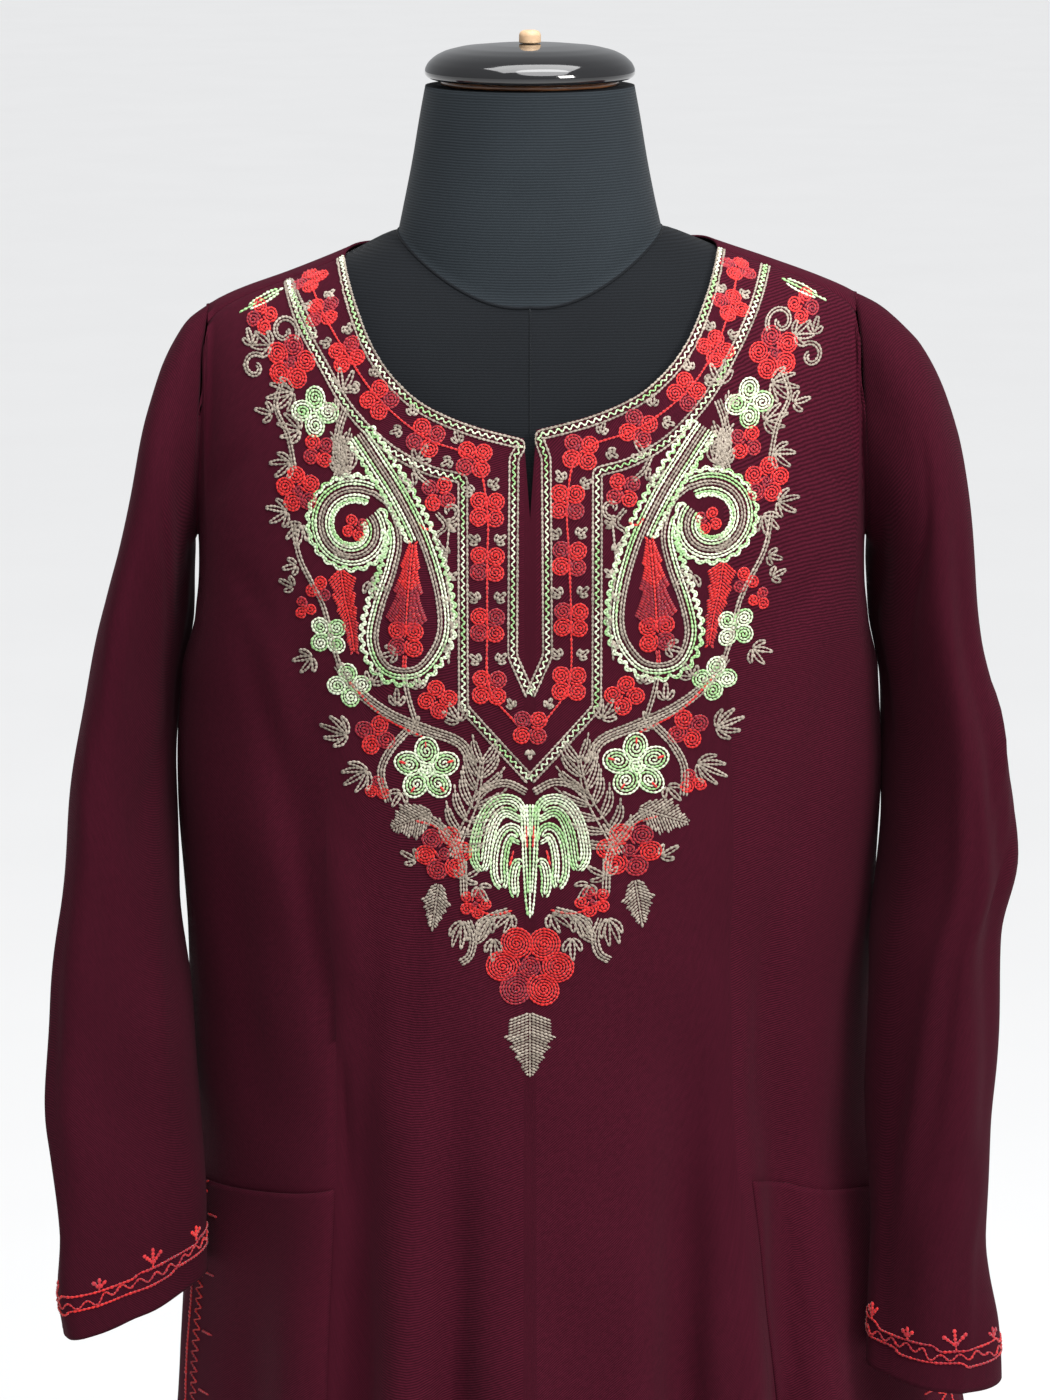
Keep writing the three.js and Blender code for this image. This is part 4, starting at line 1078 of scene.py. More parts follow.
def add_stand():
    rim_bottom = NECK_TOP + TOUCH
    rim = rounded([(47.5, 0), (49, 0.6), (49, 2.4), (48, 3)], 0.6)
    turned("rim", rim, rim_bottom, wood_material(), "cap_rim")
    cap = [(54, 0), (56.6, 0.8), (58, 3), (57.7, 5.5), (56.2, 8.5), (52.5, 12)]
    cap = rounded(cap + [(47, 14.8), (38, 17), (22, 18.5), (6, 18.9)], 2.5)
    turned("cap", cap, rim_bottom + 3 + TOUCH, lacquer, "neck_cap")
    knob = rounded([(5.6, 0), (6, 0.4), (6, 4.6), (5.2, 6.2), (3.4, 7), (0.4, 7)], 0.8)
    turned("knob", knob, CAP_TOP + TOUCH, bare_wood, "cap_knob")
    pole_bottom = BASE_HEIGHT + TOUCH
    pole = [(POLE_RADIUS, 0), (POLE_RADIUS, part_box("pole")[1].z / MM - pole_bottom)]
    turned("pole_tube", pole, pole_bottom, satin_black, "pole")
    collar = [(COLLAR_RADIUS - 1, 0), (COLLAR_RADIUS, 1), (COLLAR_RADIUS, 28)]
    collar = rounded(collar + [(POLE_RADIUS + 5, 40), (POLE_RADIUS + 0.4, 40)], 3)
    turned("collar", collar, pole_bottom, satin_black, "pole_collar")
    base = rounded([(188, 0), (190, 2), (190, 7), (178, 12), (80, BASE_HEIGHT), (17, BASE_HEIGHT)], 3)
    turned("base_plate", base, 0, satin_black, "base")


# Embroidery

# One link of chain stitch: stations along it with their half width and height, and places across it
LINK_STATIONS = ((-0.06, 0.38, 0.5), (0.5, 1.0, 1.0), (1.08, 0.5, 0.42))
LINK_ACROSS = ((-1, -0.25), (-0.52, 1), (0, 0.42), (0.52, 1), (1, -0.25))

# How slowly each yarn's shade changes along the thread, and how far
YARN_WAVES = {"red": (260, 0.3), "green": (115, 0.52), "taupe": (150, 0.26)}
YARN_BETWEEN_ROWS = 3
SHORTEST_ROW = 0.4
PLUMPNESS_VARIES = 0.13
SHADE_VARIES = 0.15


def link_faces():
    across, along = len(LINK_ACROSS), len(LINK_STATIONS)
    faces = []
    for a in range(0, (along - 1) * across, across):
        faces += [(q, q + across, q + across + 1, q + 1) for q in range(a, a + across - 1)]
        faces.append((a, a + across - 1, a + 2 * across - 1, a + across))
    faces.append(tuple(range(across)))
    faces.append(tuple((along - 1) * across + q for q in reversed(range(across))))
    return faces


def travelled(line):
    return np.concatenate([[0], np.cumsum(np.linalg.norm(np.diff(line, axis=0), axis=1))])


def places_at(line, run, stations):
    """Places of a line at these distances along it."""
    return np.stack([np.interp(stations, run, line[:, k]) for k in range(line.shape[1])], -1)


class Embroidery:
    """Chain stitches laid on one cloth after another, gathered by yarn."""

    def __init__(self):
        self.surface = None
        self.rows = {name: [] for name in threads}
        self.travel = {name: 0.0 for name in threads}

    def chain(self, points, yarn, shade=None, lift=0.0, link=LINK, width=LINK_WIDTH, count=None):
        """A row of chain stitch through places near the cloth."""
        points, _ = self.surface.snap(points)
        run = travelled(points)
        if run[-1] < SHORTEST_ROW * link:
            return
        count = count or max(1, round(run[-1] / link))
        stations = np.linspace(0, run[-1], count + 1)
        path, _ = self.surface.snap(places_at(points, run, stations))
        _, normals = self.surface.snap((path[1:] + path[:-1]) / 2)
        path = path + np.concatenate([normals[:1], normals]) * lift
        travel = self.travel[yarn] + stations[:-1]
        self.travel[yarn] += run[-1] + YARN_BETWEEN_ROWS
        period, swing = YARN_WAVES[yarn]
        turns = 2 * math.pi * travel
        wave = np.sin(turns / period) + 0.4 * np.sin(turns / (0.37 * period) + 1.3)
        tone = 0.6 + swing * wave if shade is None else np.full(count, shade)
        widths = np.full(count, width)
        self.rows[yarn].append(np.column_stack([path[:-1], path[1:], normals, tone, widths]))

    def lay(self, strokes, lift=0.0):
        """Strokes given across and up, laid on the cloth."""
        for yarn, line, shade in strokes:
            self.chain(self.surface.lift(line), yarn, shade, lift)

    def lay_both(self, strokes, lift=0.0):
        """Strokes of the design's left half, and the right half's answer to them."""
        self.lay(strokes, lift)
        self.lay([(yarn, right_place(line), shade) for yarn, line, shade in strokes], lift)

    def lay_motif(self, strokes, at):
        """A motif laid on the cloth round its middle, square to the cloth there."""
        middle = self.surface.lift([at])
        normal = self.surface.snap(middle)[1][0]
        across = unit(np.cross([0, 0, 1], normal))
        across *= -1 if across[0] < 0 else 1
        up = np.cross(across, normal)
        up *= -1 if up[2] < 0 else 1
        for yarn, line, shade in strokes:
            self.chain(middle + line[:, :1] * across + line[:, 1:] * up, yarn, shade)

    def trim(self, places):
        """A border: a pale zigzag between two rows of chain stitch."""
        places, normals = self.surface.snap(even_steps(places, 1.0))
        aside = unit(np.cross(normals, np.gradient(places, axis=0)))
        for side in (-1, 1):
            self.chain(places + side * aside * TRIM_HALF, "taupe", width=1.5)
        run = travelled(places)
        legs = 2 * round(run[-1] / TRIM_PITCH)
        stations = np.linspace(0, run[-1], legs + 1)
        swing = np.where(np.arange(legs + 1) % 2 == 0, 1, -1)[:, None] * (TRIM_HALF - TRIM_INSET)
        path = places_at(places, run, stations) + places_at(aside, run, stations) * swing
        self.chain(path, "green", width=1.2, count=2 * legs)

    def build(self):
        for yarn, rows in self.rows.items():
            data = np.concatenate(rows)
            start, end, normal = data[:, 0:3], data[:, 3:6], data[:, 6:9]
            tone, width = data[:, 9], data[:, 10]
            count = len(data)
            along = end - start
            aside = np.cross(normal, unit(along))
            plump = 1 + PLUMPNESS_VARIES * random.standard_normal(count)
            vertices = []
            for at, half, high in LINK_STATIONS:
                for beside_it, lifted in LINK_ACROSS:
                    out = aside * (beside_it * half * width / 2 * plump)[:, None]
                    up = normal * (LINK_HEIGHT * lifted * high * plump)[:, None]
                    vertices.append(start + along * at + out + up)
            points = np.stack(vertices, 1).reshape(-1, 3)
            shift = (np.arange(count) * len(vertices))[:, None]
            by_face = [(shift + np.array(face)).tolist() for face in link_faces()]
            faces = [face for link in zip(*by_face) for face in link]
            piece = new_mesh(f"{yarn}_stitches", points, faces, threads[yarn])
            shades = np.clip(tone + SHADE_VARIES * random.standard_normal(count), 0, 1)
            tones = np.repeat(shades, len(vertices))
            layer = piece.data.attributes.new("tone", "FLOAT", "POINT")
            layer.data.foreach_set("value", tones.astype(np.float32))


def spline(places, step=0.8):
    """A smooth line through places, by Catmull and Rom's rule, as close places."""
    places = np.asarray(places, float)
    ends = np.concatenate([[2 * places[0] - places[1]], places, [2 * places[-1] - places[-2]]])
    out = []
    for a, b, c, d in zip(ends, ends[1:], ends[2:], ends[3:]):
        count = max(2, int(np.linalg.norm(c - b) / step))
        t = (np.arange(count) / count)[:, None]
        cubic = 2 * b + (c - a) * t + (2 * a - 5 * b + 4 * c - d) * t**2 + (3 * b - a - 3 * c + d) * t**3
        out.append(cubic / 2)
    return np.concatenate(out + [places[-1:]])


def straight(places, step=0.8):
    """A line with sharp corners through places, as close places."""
    places = np.asarray(places, float)
    out = []
    for a, b in zip(places, places[1:]):
        count = max(2, int(np.linalg.norm(b - a) / step))
        out.append(lerp(a, b, (np.arange(count) / count)[:, None]))
    return np.concatenate(out + [places[-1:]])


def even_steps(line, step):
    """The same line as places one step apart."""
    run = travelled(line)
    return places_at(line, run, np.linspace(0, run[-1], max(2, round(run[-1] / step)) + 1))


def beside(line, distance):
    """A flat line moved sideways to its left by a distance, or by one for each place."""
    forward = unit(np.gradient(line, axis=0))
    left = np.stack([-forward[:, 1], forward[:, 0]], -1)
    return line + left * np.broadcast_to(distance, len(line))[:, None]


def toward(degrees, reach=1.0):
    return reach * np.array([math.cos(math.radians(degrees)), math.sin(math.radians(degrees))])


# A motif is a list of strokes: a yarn, a flat line round the motif's middle, and a shade or None


def ribbon(yarn, line, width, pitch=ROW_PITCH, shade=None):
    """Rows of stitches that follow a leaf's two edges. The width is whole, by share of length."""
    half = np.array([width(t) for t in np.linspace(0, 1, len(line))]) / 2
    rows = max(1, round(2 * half.max() / pitch))
    strokes = [(yarn, line, shade)] if rows % 2 else []
    for k in range(rows // 2):
        reach = half - (k + 0.5) * pitch
        kept = np.flatnonzero(reach > (0.6 * pitch if rows % 2 else 0.1 * pitch))
        if len(kept) >= 3:
            edges = [beside(line, sign * reach)[kept[0] : kept[-1] + 1] for sign in (-1, 1)]
            strokes += [(yarn, edge, shade) for edge in edges]
    return strokes


def steady(width):
    return lambda t: width


def leafy(width):
    return lambda t: width * math.sin(math.pi * min(1, 0.1 + 0.9 * t)) ** 0.7


def steadily(first, last):
    return lambda t: lerp(first, last, t)


def stepping(before, after, at):
    return lambda t: before if t < at else after


def rounded_ends(width):
    return lambda t: width * min(1, (1 - (2 * t - 1) ** 4) ** 0.5 + 0.08)


def petal(yarn, middle, radius, lean=0.0, shade=None, longer=1.0, pitch=ROW_PITCH):
    """A round petal filled by a spiral, with a small hole in its middle."""
    turns = max(1, (radius - 0.9) / pitch)
    t = np.linspace(0, 1, int(turns * 20) + 8)
    reach = lerp(radius - 0.7, 0.8, t)
    angle = 2 * math.pi * turns * t + math.pi
    across, up = toward(lean), toward(lean + 90)
    line = middle + np.outer(longer * reach * np.cos(angle), across) + np.outer(reach * np.sin(angle), up)
    return [(yarn, line, shade)]


RED_SHADES = (0.95, 0.8, 0.12, 0.9, 0.3, 0.85, 0.95)


def flower(yarn, radius, petals=4, lean=0.0, first_shade=0, longer=1.0, pitch=ROW_PITCH):
    """Petals that touch round a middle. Red ones change between scarlet and crimson."""
    size = radius / (longer + 0.76 / math.sin(math.pi / petals))
    strokes = []
    for k in range(petals):
        angle = lean + 360 * k / petals
        shade = RED_SHADES[(first_shade + k) % len(RED_SHADES)] if yarn == "red" else None
        strokes += petal(yarn, toward(angle, radius - size * longer), size, angle, shade, longer, pitch)
    if petals > 4:
        strokes += petal(yarn, (0, 0), radius * 0.27, 0, 0.1 if yarn == "red" else None, 1, pitch)
    return strokes


def fan(size, lean=90.0, fingers=5, spread=120.0, thick=3.3):
    """A leaf of pointed fingers that spread from one foot."""
    strokes = []
    for k in range(fingers):
        t = k / (fingers - 1) - 0.5
        length = size * (1.08 - 0.35 * abs(2 * t) ** 1.5)
        middle = toward(lean + (spread + 16) * t, 0.5 * length)
        tip = toward(lean + (spread - 14) * t, length)
        strokes += ribbon("taupe", spline([(0, 0), middle, tip], 0.6), leafy(thick))
    return strokes


def curl(radius, turns, lean):
    """A stem that rolls up into a curl."""
    t = np.linspace(0, 1, int(40 * turns) + 8)
    reach = radius * (1 - 0.75 * t)
    angle = math.radians(lean) + 2 * math.pi * turns * t
    line = np.stack([reach * np.cos(angle), reach * np.sin(angle)], -1)
    return ribbon("taupe", line, steady(3.2))


def feathered(yarn, line, reach, teeth, slant=0.65, shade=None):
    """A filled leaf of slanting rows on both sides of a vein. Reach and shade go by share of length."""
    line = even_steps(line, FEATHER_PITCH)
    forward = unit(np.gradient(line, axis=0))
    strokes = [(yarn, line, shade(0.5) if shade else None)]
    for k, (place, ahead) in enumerate(zip(line, forward)):
        t = k / (len(line) - 1)
        far = reach(t) * (1 - TOOTH_DEPTH * (t * teeth % 1))
        for side in (-1, 1):
            out = np.array([-ahead[1], ahead[0]]) * side
            row = straight([place + out * 0.9, place + out * far + ahead * slant * far], 0.5)
            strokes.append((yarn, row, shade(t) if shade else None))
    return strokes


def leaf_reach(width, broadest=0.2, start=0.5):
    """Half the width of a leaf that is broadest near its foot."""
    def reach(t):
        narrowing = 1 - 0.9 * (t - broadest) / (1 - broadest)
        return width / 2 * (lerp(start, 1, t / broadest) if t < broadest else narrowing)
    return reach


def plume(places, size, pairs, spine=6.4):
    """A thick spine with pointed fingers on both sides, longest in the middle."""
    line = spline(places)
    strokes = ribbon("taupe", line, steadily(spine, 3))
    forward = np.gradient(line, axis=0)
    for k in range(pairs):
        t = 0.1 + 0.88 * k / (pairs - 1)
        at = int(t * (len(line) - 1))
        heading = math.degrees(math.atan2(forward[at][1], forward[at][0]))
        reach = size * (0.55 + 0.55 * math.sin(math.pi * (0.2 + 0.62 * t)))
        for side in (-1, 1):
            middle = line[at] + toward(heading + side * lerp(66, 30, t), 0.55 * reach)
            tip = middle + toward(heading + side * lerp(42, 16, t), 0.5 * reach)
            strokes += ribbon("taupe", spline([line[at], middle, tip], 0.6), leafy(5.6))
    return strokes


def loops(line, near, far, pitch=4.7):
    """Rows of small arched loops along one side of a line, in pale yarn. Distances are to its left."""
    line = even_steps(line, 0.5)
    arch = np.abs(np.sin(math.pi * travelled(line) / pitch)) ** 0.75
    rows = [np.full(len(line), near), np.full(len(line), near + 1.7)]
    rows += [lerp(near + 2.2, far - 1.4, arch), lerp(near + 2.6, far, arch)]
    return [("green", beside(line, row), None) for row in rows]


def moved_to(strokes, at):
    """Strokes of a motif moved to their place on the flat design."""
    return [(yarn, line + np.asarray(at), shade) for yarn, line, shade in strokes]


def right_place(line):
    """The places on the right that answer those on the left: a little higher, and wider low down."""
    x, z = line[:, 0], line[:, 1]
    wider = 1.02 + 0.13 * ramp(z, 1140, 1085)
    return np.stack([-x * wider, z + 0.04 * np.abs(x)], -1)


# The design's left half, in millimetres across and up

OUTER_FLOWERS = (
    # yarn, x, z, radius, petals, lean, longer
    ("red", -147, 1366, 10, 4, 20, 1), ("red", -130, 1345, 15, 5, 10, 1),
    ("green", -116, 1321, 14.5, 4, 2, 1.15), ("red", -114, 1301, 10.5, 4, 40, 1),
    ("red", -125, 1280, 13.5, 5, 30, 1), ("red", -49, 1281, 11, 4, 60, 1),
    ("red", -94, 1262, 8.6, 4, 30, 1), ("red", -114, 1228, 8.5, 3, 80, 1),
    ("red", -122, 1217, 7.5, 3, 0, 1), ("green", -109, 1203, 12.8, 4, 45, 1.1),
    ("green", -98, 1176, 13.5, 4, 8, 1.1), ("red", -50, 1170, 12, 4, 10, 1),
    ("red", -84, 1149, 12.8, 4, 70, 1.1), ("red", -83, 1119, 8.5, 3, 90, 1),
    ("red", -47, 1084, 17, 6, 10, 1), ("red", -30, 1056, 10, 5, 0, 1),
)
FAN_SCALE = 1.22
FAN_FINGER = 4
FANS = (
    # x, z, size, lean, fingers, spread
    (-141, 1352, 11, 165, 4, 120), (-152, 1352, 8, 110, 3, 90), (-128, 1330, 14, 195, 5, 120),
    (-101, 1332, 12, 80, 4, 110), (-124, 1311, 12, 170, 5, 130), (-129, 1294, 12, 205, 4, 110),
    (-97, 1292, 13, 125, 5, 110), (-104, 1299, 11, 40, 4, 100), (-131, 1268, 12, 195, 4, 120),
    (-123, 1262, 12, 240, 4, 100), (-86, 1234, 10, -50, 4, 140), (-126, 1240, 8, 200, 3, 100),
    (-118, 1190, 11, 215, 4, 120), (-99, 1148, 14, 165, 5, 120), (-88, 1129, 15, 215, 5, 110),
    (-72, 1166, 9, 90, 3, 80), (-38, 1158, 11, 120, 5, 120), (-64, 1150, 10, 70, 3, 90),
    (-36, 1070, 10, 60, 4, 160), (-62, 1079, 9, 150, 3, 100), (-22, 1048, 12, 245, 4, 70),
    (-10, 1050, 11, 235, 4, 90), (-37, 1046, 15, 258, 4, 60), (-60, 1298, 9, 60, 3, 110),
    (-62, 1285, 9, 150, 3, 110), (-72, 1196, 9, 200, 3, 90), (-86, 1178, 9, 60, 3, 110),
    (-60, 1176, 8, 100, 3, 90), (-128, 1228, 8, 160, 3, 100), (-70, 1118, 9, 240, 3, 110),
    (-20, 1036, 12, 268, 3, 60), (-28, 1066, 9, 300, 3, 120), (-140, 1318, 9, 170, 3, 110),
    (-103, 1246, 8, 60, 3, 100),
)
STEMS = (
    # thickness, places
    (3.3, ((-128, 1262), (-124, 1243), (-112, 1220), (-106, 1196), (-103, 1186))),
    (6.4, ((-104, 1187), (-92, 1172), (-76, 1161), (-56, 1153), (-38, 1146), (-31, 1134))),
    (3.3, ((-68, 1184), (-66, 1172), (-62, 1158))),
    (4.8, ((-66, 1153), (-76, 1141), (-81, 1128), (-77, 1112))),
    (3.3, ((-134, 1336), (-138, 1322), (-131, 1308), (-127, 1290))),
    (4.8, ((-99, 1324), (-103, 1312), (-104, 1298), (-97, 1286))),
    (3.3, ((-64, 1299), (-60, 1291), (-54, 1286))),
    (3.3, ((-50, 1271), (-45, 1264), (-51, 1258), (-45, 1250))),
    (4.8, ((-60, 1106), (-52, 1102), (-42, 1092), (-37, 1078), (-36, 1060))),
    (4.8, ((-2, 1119), (-12, 1124), (-22, 1122), (-30, 1114))),
    (4.8, ((-12, 1052), (-24, 1047), (-30, 1036))),
    (4.8, ((-34, 1046), (-31, 1036), (-33, 1026), (-38, 1022))),
    (3.3, ((-17, 1052), (-22, 1044), (-26, 1036), (-31, 1033))),
)
RED_STEMS = (
    ((-98, 1178), (-80, 1160), (-58, 1149)),
    ((-60, 1266), (-56, 1262), (-52, 1264)),
    ((-36, 1056), (-22, 1050), (-10, 1052)),
    ((-62, 1102), (-50, 1098), (-40, 1084)),
)
CURLS = (
    # x, z, radius, turns, lean
    (-134, 1360, 8, 1.15, 330),
    (-150, 1341, 7, 1.0, 60),
    (-43, 1272, 5.5, 0.9, 250),
)
LEAVES = (
    # x, z, length, width, lean, teeth
    (-54, 1107, 24, 25, 205, 4),
    (-50, 1066, 27, 16, 262, 5),
)
GREEN_FLOWER = (-56, 1131, 20)


def paisley():
    """A paisley whose line runs on into its curled neighbour, in absolute places of the left half."""
    drop = ((-92, 1311), (-84, 1300), (-70, 1279), (-58, 1255), (-50, 1228), (-49, 1206))
    foot = ((-58, 1190), (-68, 1186), (-78, 1189))
    rise = ((-83, 1202), (-80, 1219), (-73, 1240), (-70, 1257), (-75, 1273), (-84, 1281))
    body_line = spline(drop + foot + rise)
    turn = np.radians(np.linspace(62, 395, 80))
    reach = np.linspace(21, 11.5, 80)
    scroll = np.stack([-95 + reach * np.cos(turn), 1262 + reach * np.sin(turn)], -1)
    line = np.concatenate([body_line, scroll])
    strokes = ribbon("taupe", line, steady(3.2))
    strokes += loops(body_line[: -len(body_line) // 12], 2.9, 9.6)
    strokes += loops(scroll, 2.8, 7.4)
    strokes += loops(scroll[::-1], 2.9, 8.6)
    strokes += loops(body_line[len(body_line) // 4 :: -1], 2.8, 8.6)
    core = spline([(-67, 1206), (-66, 1222), (-64.5, 1240), (-63, 1254)])
    strokes += feathered("red", core, steadily(11, 2.4), 3, 0.8, stepping(0.12, 0.95, 0.5))
    strokes += moved_to(flower("red", 12.5, 4, 45), (-67, 1203))
    strokes += ribbon("red", straight([(-67.5, 1194), (-68, 1187)]), steady(3))
    return strokes


def drooping_leaf():
    """A hanging red leaf, broad at its top."""
    vein = spline([(-102, 1239), (-100, 1224), (-97, 1210), (-95, 1195)])
    return feathered("red", vein, steadily(7.6, 2.2), 5, 0.7, stepping(0.9, 0.5, 0.6))


def dashes(middle, radius):
    """Short red stitches in the petals of a pale flower."""
    strokes = []
    for lean in range(20, 380, 72):
        place = np.asarray(middle) + toward(lean, 0.6 * radius)
        strokes.append(("red", straight([place, place + toward(lean, 3.4)], 0.5), 0.9))
    return strokes


def palmette():
    """A broad leaf of arched lobes below the point of the placket, in absolute places."""
    strokes = []
    lobes = (
        (((3, 1103), (10, 1111), (18, 1110), (24, 1100), (27, 1085), (26, 1074)), 13.5),
        (((4, 1090), (10, 1097), (15, 1091), (17, 1077), (15, 1064)), 10.4),
        (((3, 1078), (7, 1079), (9, 1070), (8, 1059)), 6.4),
    )
    for side in (-1, 1):
        for places, width in lobes:
            line = spline([(side * x, z) for x, z in places])
            strokes += ribbon("green", line, rounded_ends(width), 1.6)
    middle = straight([(0, 1112), (0, 1048)])
    strokes += ribbon("green", middle, lambda t: 9.5 * (1 - t) ** 0.4 + 1.6, 1.6)
    for side in (-1, 1):
        for (x1, z1), (x2, z2) in (((2.2, 1100), (1.6, 1088)), ((9, 1086), (11, 1078))):
            strokes.append(("red", straight([(side * x1, z1), (side * x2, z2)], 0.5), 0.9))
    return strokes


def left_half():
    """Strokes of the design's left half outside the band."""
    strokes = []
    for thick, places in STEMS:
        strokes += ribbon("taupe", spline(places), steady(thick))
    for places in RED_STEMS:
        strokes += ribbon("red", spline(places), steady(1.5), shade=0.9)
    for k, (yarn, x, z, radius, petals, lean, longer) in enumerate(OUTER_FLOWERS):
        strokes += moved_to(flower(yarn, radius, petals, lean, 3 * k, longer), (x, z))
    for x, z, size, lean, fingers, spread in FANS:
        strokes += moved_to(fan(FAN_SCALE * size, lean, fingers, spread, FAN_FINGER), (x, z))
    for x, z, radius, turns, lean in CURLS:
        strokes += moved_to(curl(radius, turns, lean), (x, z))
    for x, z, length, width, lean, teeth in LEAVES:
        vein = straight([(0, 0), toward(lean, length)])
        strokes += moved_to(feathered("taupe", vein, leaf_reach(width), teeth), (x, z))
    strokes += paisley() + drooping_leaf()
    x, z, radius = GREEN_FLOWER
    strokes += moved_to(flower("green", radius, 5, 20, 0, 1.25, 1.75), (x, z))
    strokes += plume([(-43, 1082), (-36, 1098), (-29, 1116), (-26, 1136)], 19, 7)
    strokes += plume([(-104, 1288), (-100, 1302), (-106, 1322)], 8, 3, 4.8)
    for k in range(6):
        strokes += moved_to(fan(6.5, 140 if k % 2 else 40, 3, 80), (-43.5, 1262 - 13 * k))
    strokes += ribbon("taupe", spline([(-43, 1268), (-45, 1240), (-42, 1215), (-44, 1190)]), steady(1.6))
    strokes += ribbon("green", straight([(-136, 1380), (-160, 1367)]), leafy(5.2))
    return strokes


BAND_FLOWERS = {
    -1: ((-121, 1385), (-113, 1371), (-99, 1351), (-81, 1329), (-56, 1310), (-30, 1299)),
    1: ((114, 1392), (109, 1375), (100, 1354), (84, 1333), (58, 1315), (27, 1303)),
}
BAND_COLUMNS = {
    -1: ((-23, 1273), (-23, 1244), (-23, 1211), (-22, 1177)),
    1: ((20, 1277), (21, 1247), (22, 1214), (21, 1179)),
}
BAND_RADIUS = 12.2
TRIM_HALF = 2.35
EDGE_TO_TRIM = 3.3
TRIM_PITCH = 4.2
TRIM_INSET = 1.05
OUTER_TRIM = {
    -1: ((-134, 1385), (-125, 1365), (-112, 1345), (-97, 1323), (-77, 1305), (-56, 1294), (-36, 1289)),
    1: ((130, 1392), (121, 1371), (109, 1350), (95, 1329), (76, 1310), (55, 1298), (37, 1293)),
}
OUTER_CORNER_DROP = ((-36, 1289), (-36, 1166), (0, 1126))
SLIT_TRIM = ((8.6, 1300), (9, 1260), (9.4, 1194), (0, 1173))

# Rows of a pocket's grid that have a short stitch beside the border
POCKET_TICK_FIRST = 6
POCKET_TICK_STEP = 11

# Heights above the cuff's edge, and each flower's place round it in degrees with its size
CUFF_ROWS = (17, 26)
CUFF_WAVE = 21.5
CUFF_WAVE_LENGTH = 11
CUFF_WAVE_HEIGHT = 2.2
CUFF_FLOWERS = 27
CUFF_ABOVE = 60
FLOWER_TURNS = {
    "left": ((20, 6), (70, 7), (110, 11), (150, 8), (200, 7), (250, 10), (300, 7)),
    "right": ((30, 7), (78, 12), (120, 7), (165, 9), (215, 7), (262, 10), (310, 7)),
}


def neck_edge(grid, sign):
    """The neckline's edge from the side neck to the slit, moved into the cloth."""
    middle = len(grid) // 2
    edge = grid[[middle + sign * k for k in range(NECK_STEPS + 1, 0, -1)], 0]
    edge = even_steps(edge, 2.0)
    below = Vector((0, 0, -1))
    inward = []
    for a, b in zip(edge, edge[1:]):
        run = Vector(b - a).normalized()
        inward.append((below - run * below.dot(run)).normalized())
    return edge + np.array(inward + inward[-1:]) * EDGE_TO_TRIM


def embroider_band(stitches, grid, sign):
    surface = stitches.surface
    slit = surface.lift(straight([(sign * x, z) for x, z in SLIT_TRIM]))
    stitches.trim(np.concatenate([neck_edge(grid, sign), slit]))
    shift = OUTER_TRIM[sign][-1][1] - OUTER_TRIM[-1][-1][1]
    drop = straight([(-sign * x, z + shift * (z > 1200)) for x, z in OUTER_CORNER_DROP])
    stitches.trim(surface.lift(np.concatenate([spline(OUTER_TRIM[sign]), drop[1:]])))
    spots = BAND_FLOWERS[sign] + BAND_COLUMNS[sign]
    bottom = (sign * 8, 1158)
    stitches.lay(ribbon("red", spline(spots + (bottom,)), steady(1.6), shade=0.85))
    for k, at in enumerate(spots):
        lean = 45 + (17 * k if k < len(BAND_FLOWERS[sign]) else 0)
        stitches.lay_motif(flower("red", BAND_RADIUS, 4, lean, 2 * k + (sign > 0)), at)
    for a, b in zip(spots, spots[1:]):
        heading = math.degrees(math.atan2(b[1] - a[1], b[0] - a[0]))
        middle = (np.array(a) + b) / 2
        for side in (-1, 1):
            at = middle + toward(heading + side * 90, 4.6) + toward(heading, 3.2)
            stitches.lay_motif(fan(8, heading + 180 - side * 52, 3, 76, 3.6), tuple(at))


def embroider_front(stitches, grid):
    for sign in (-1, 1):
        embroider_band(stitches, grid, sign)
    stitches.lay_motif(flower("red", 12, 4, 45, 1), (0, 1155))
    for side in (-1, 1):
        stitches.lay_motif(fan(7, 90 - side * 30, 3, 76, 3.4), (side * 9, 1166))
    stitches.lay_motif(fan(6.5, -90, 3, 76, 3.2), (0, 1143))
    stitches.lay_both(left_half())
    x, z, radius = GREEN_FLOWER
    stitches.lay_both(dashes((x, z), radius), 0.7)
    stitches.lay(palmette())
    stitches.lay_motif(flower("red", 25.5, 6, 0, 5, 1.05), (0, 1020))
    stitches.lay(feathered("taupe", straight([(0, 993), (0, 957)]), leaf_reach(31, 0.2, 0.72), 5, 0.35))


def cuff_line(grid, height):
    """A level line round a sleeve, so far above the cuff's edge."""
    down = lengths(grid, 1)
    left = down[:, -1:] - down
    row = np.argmin(np.abs(left - height), axis=1)
    line = grid[np.arange(len(grid)), row]
    return np.concatenate([line, line[:1]])


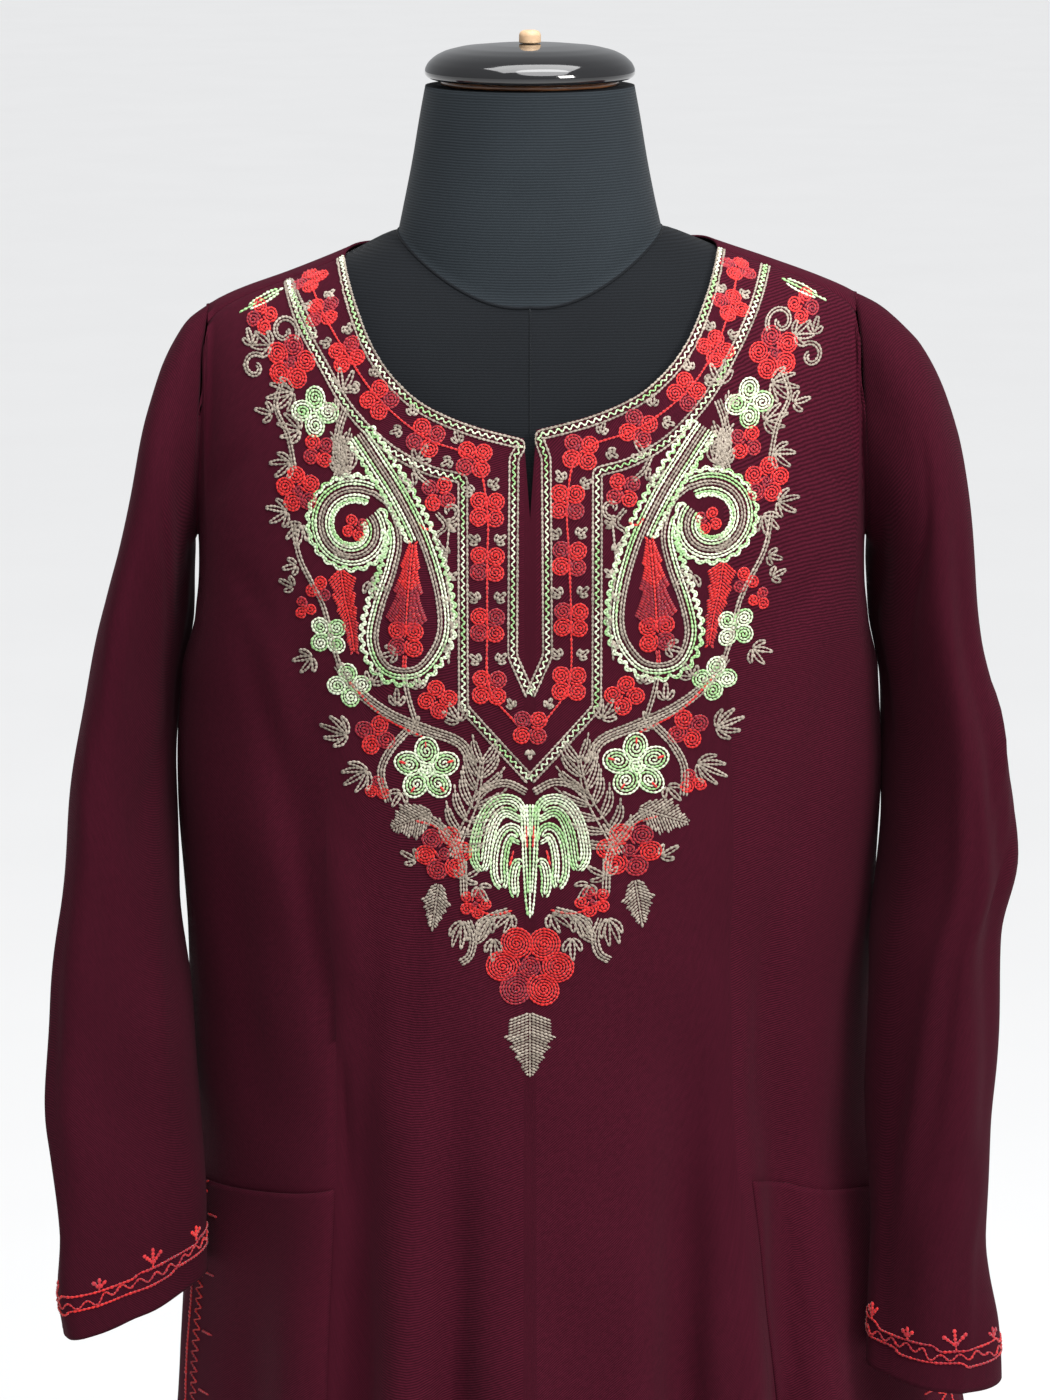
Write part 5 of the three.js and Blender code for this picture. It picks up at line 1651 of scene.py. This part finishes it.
def embroider_cuff(stitches, grid, flower_turns):
    for height in CUFF_ROWS:
        stitches.chain(cuff_line(grid, height), "red", link=2.6, width=1.6)
    middle = cuff_line(grid, CUFF_WAVE)
    run = travelled(middle)
    count = round(run[-1] / CUFF_WAVE_LENGTH)
    path = places_at(middle, run, np.linspace(0, run[-1], 8 * count + 1))
    wave = CUFF_WAVE_HEIGHT * np.sin(np.linspace(0, 2 * math.pi * count, len(path)))
    stitches.chain(path + np.outer(wave, [0, 0, 1]), "red", link=2.4, width=1.4)
    top, above = cuff_line(grid, CUFF_FLOWERS), cuff_line(grid, CUFF_ABOVE)
    for turn, size in flower_turns:
        at = int(turn / 360 * len(grid)) % len(grid)
        up = unit(above[at] - top[at])
        _, normal = stitches.surface.snap([top[at]])
        aside = np.cross(normal[0], up)
        for spread in (-50, 0, 50):
            lean = math.radians(spread)
            tip = top[at] + size * (0.35 * up + 0.75 * (math.cos(lean) * up + math.sin(lean) * aside))
            foot = top[at] + 0.3 * size * up
            stitches.chain(straight([foot, tip], 0.5), "red", link=2.4, width=2.6)
        stitches.chain(straight([top[at], top[at] + 0.35 * size * up], 0.5), "red", link=2.0, width=1.3)


def embroider_pocket(stitches, grid, side):
    """A red border down the mouth of a pocket, at its outer side."""
    outer, inner = (grid[3], grid[7]) if side == "left" else (grid[-4], grid[-8])
    stitches.chain(outer, "red", link=2.6, width=1.6)
    swing = np.where(np.arange(len(outer)) % 2 == 0, 1.0, 0.0)[:, None]
    stitches.chain(lerp(outer, inner, 0.35 + 0.5 * swing), "red", link=2.4, width=1.1)
    for row in range(POCKET_TICK_FIRST, len(outer), POCKET_TICK_STEP):
        tip = inner[row] + (inner[row] - outer[row]) * 0.6
        stitches.chain(straight([inner[row], tip], 0.5), "red", link=2.2, width=1.7)


def build():
    add_camera()
    add_stage()
    front, front_grid = cloth_panel("front_cloth", -1, FRONT_CREASES, 0.4)
    back, _ = cloth_panel("back_cloth", 1, BACK_CREASES, 2.1)
    sleeves = {side: cloth_sleeve(side, phase) for side, phase in (("left", 0.9), ("right", 3.3))}
    pockets = {side: cloth_pocket(side, front_grid) for side in SIGNS}
    add_form_seams(*add_form())
    add_stand()

    stitches = Embroidery()
    stitches.surface = Surface(front_grid, -1, False)
    embroider_front(stitches, front_grid)
    for side, (_, grid) in sleeves.items():
        stitches.surface = Surface(grid, SIGNS[side], True)
        embroider_cuff(stitches, grid, FLOWER_TURNS[side])
    for side, (_, grid) in pockets.items():
        stitches.surface = Surface(grid, -1, False)
        embroider_pocket(stitches, grid, side)
    stitches.build()


build()
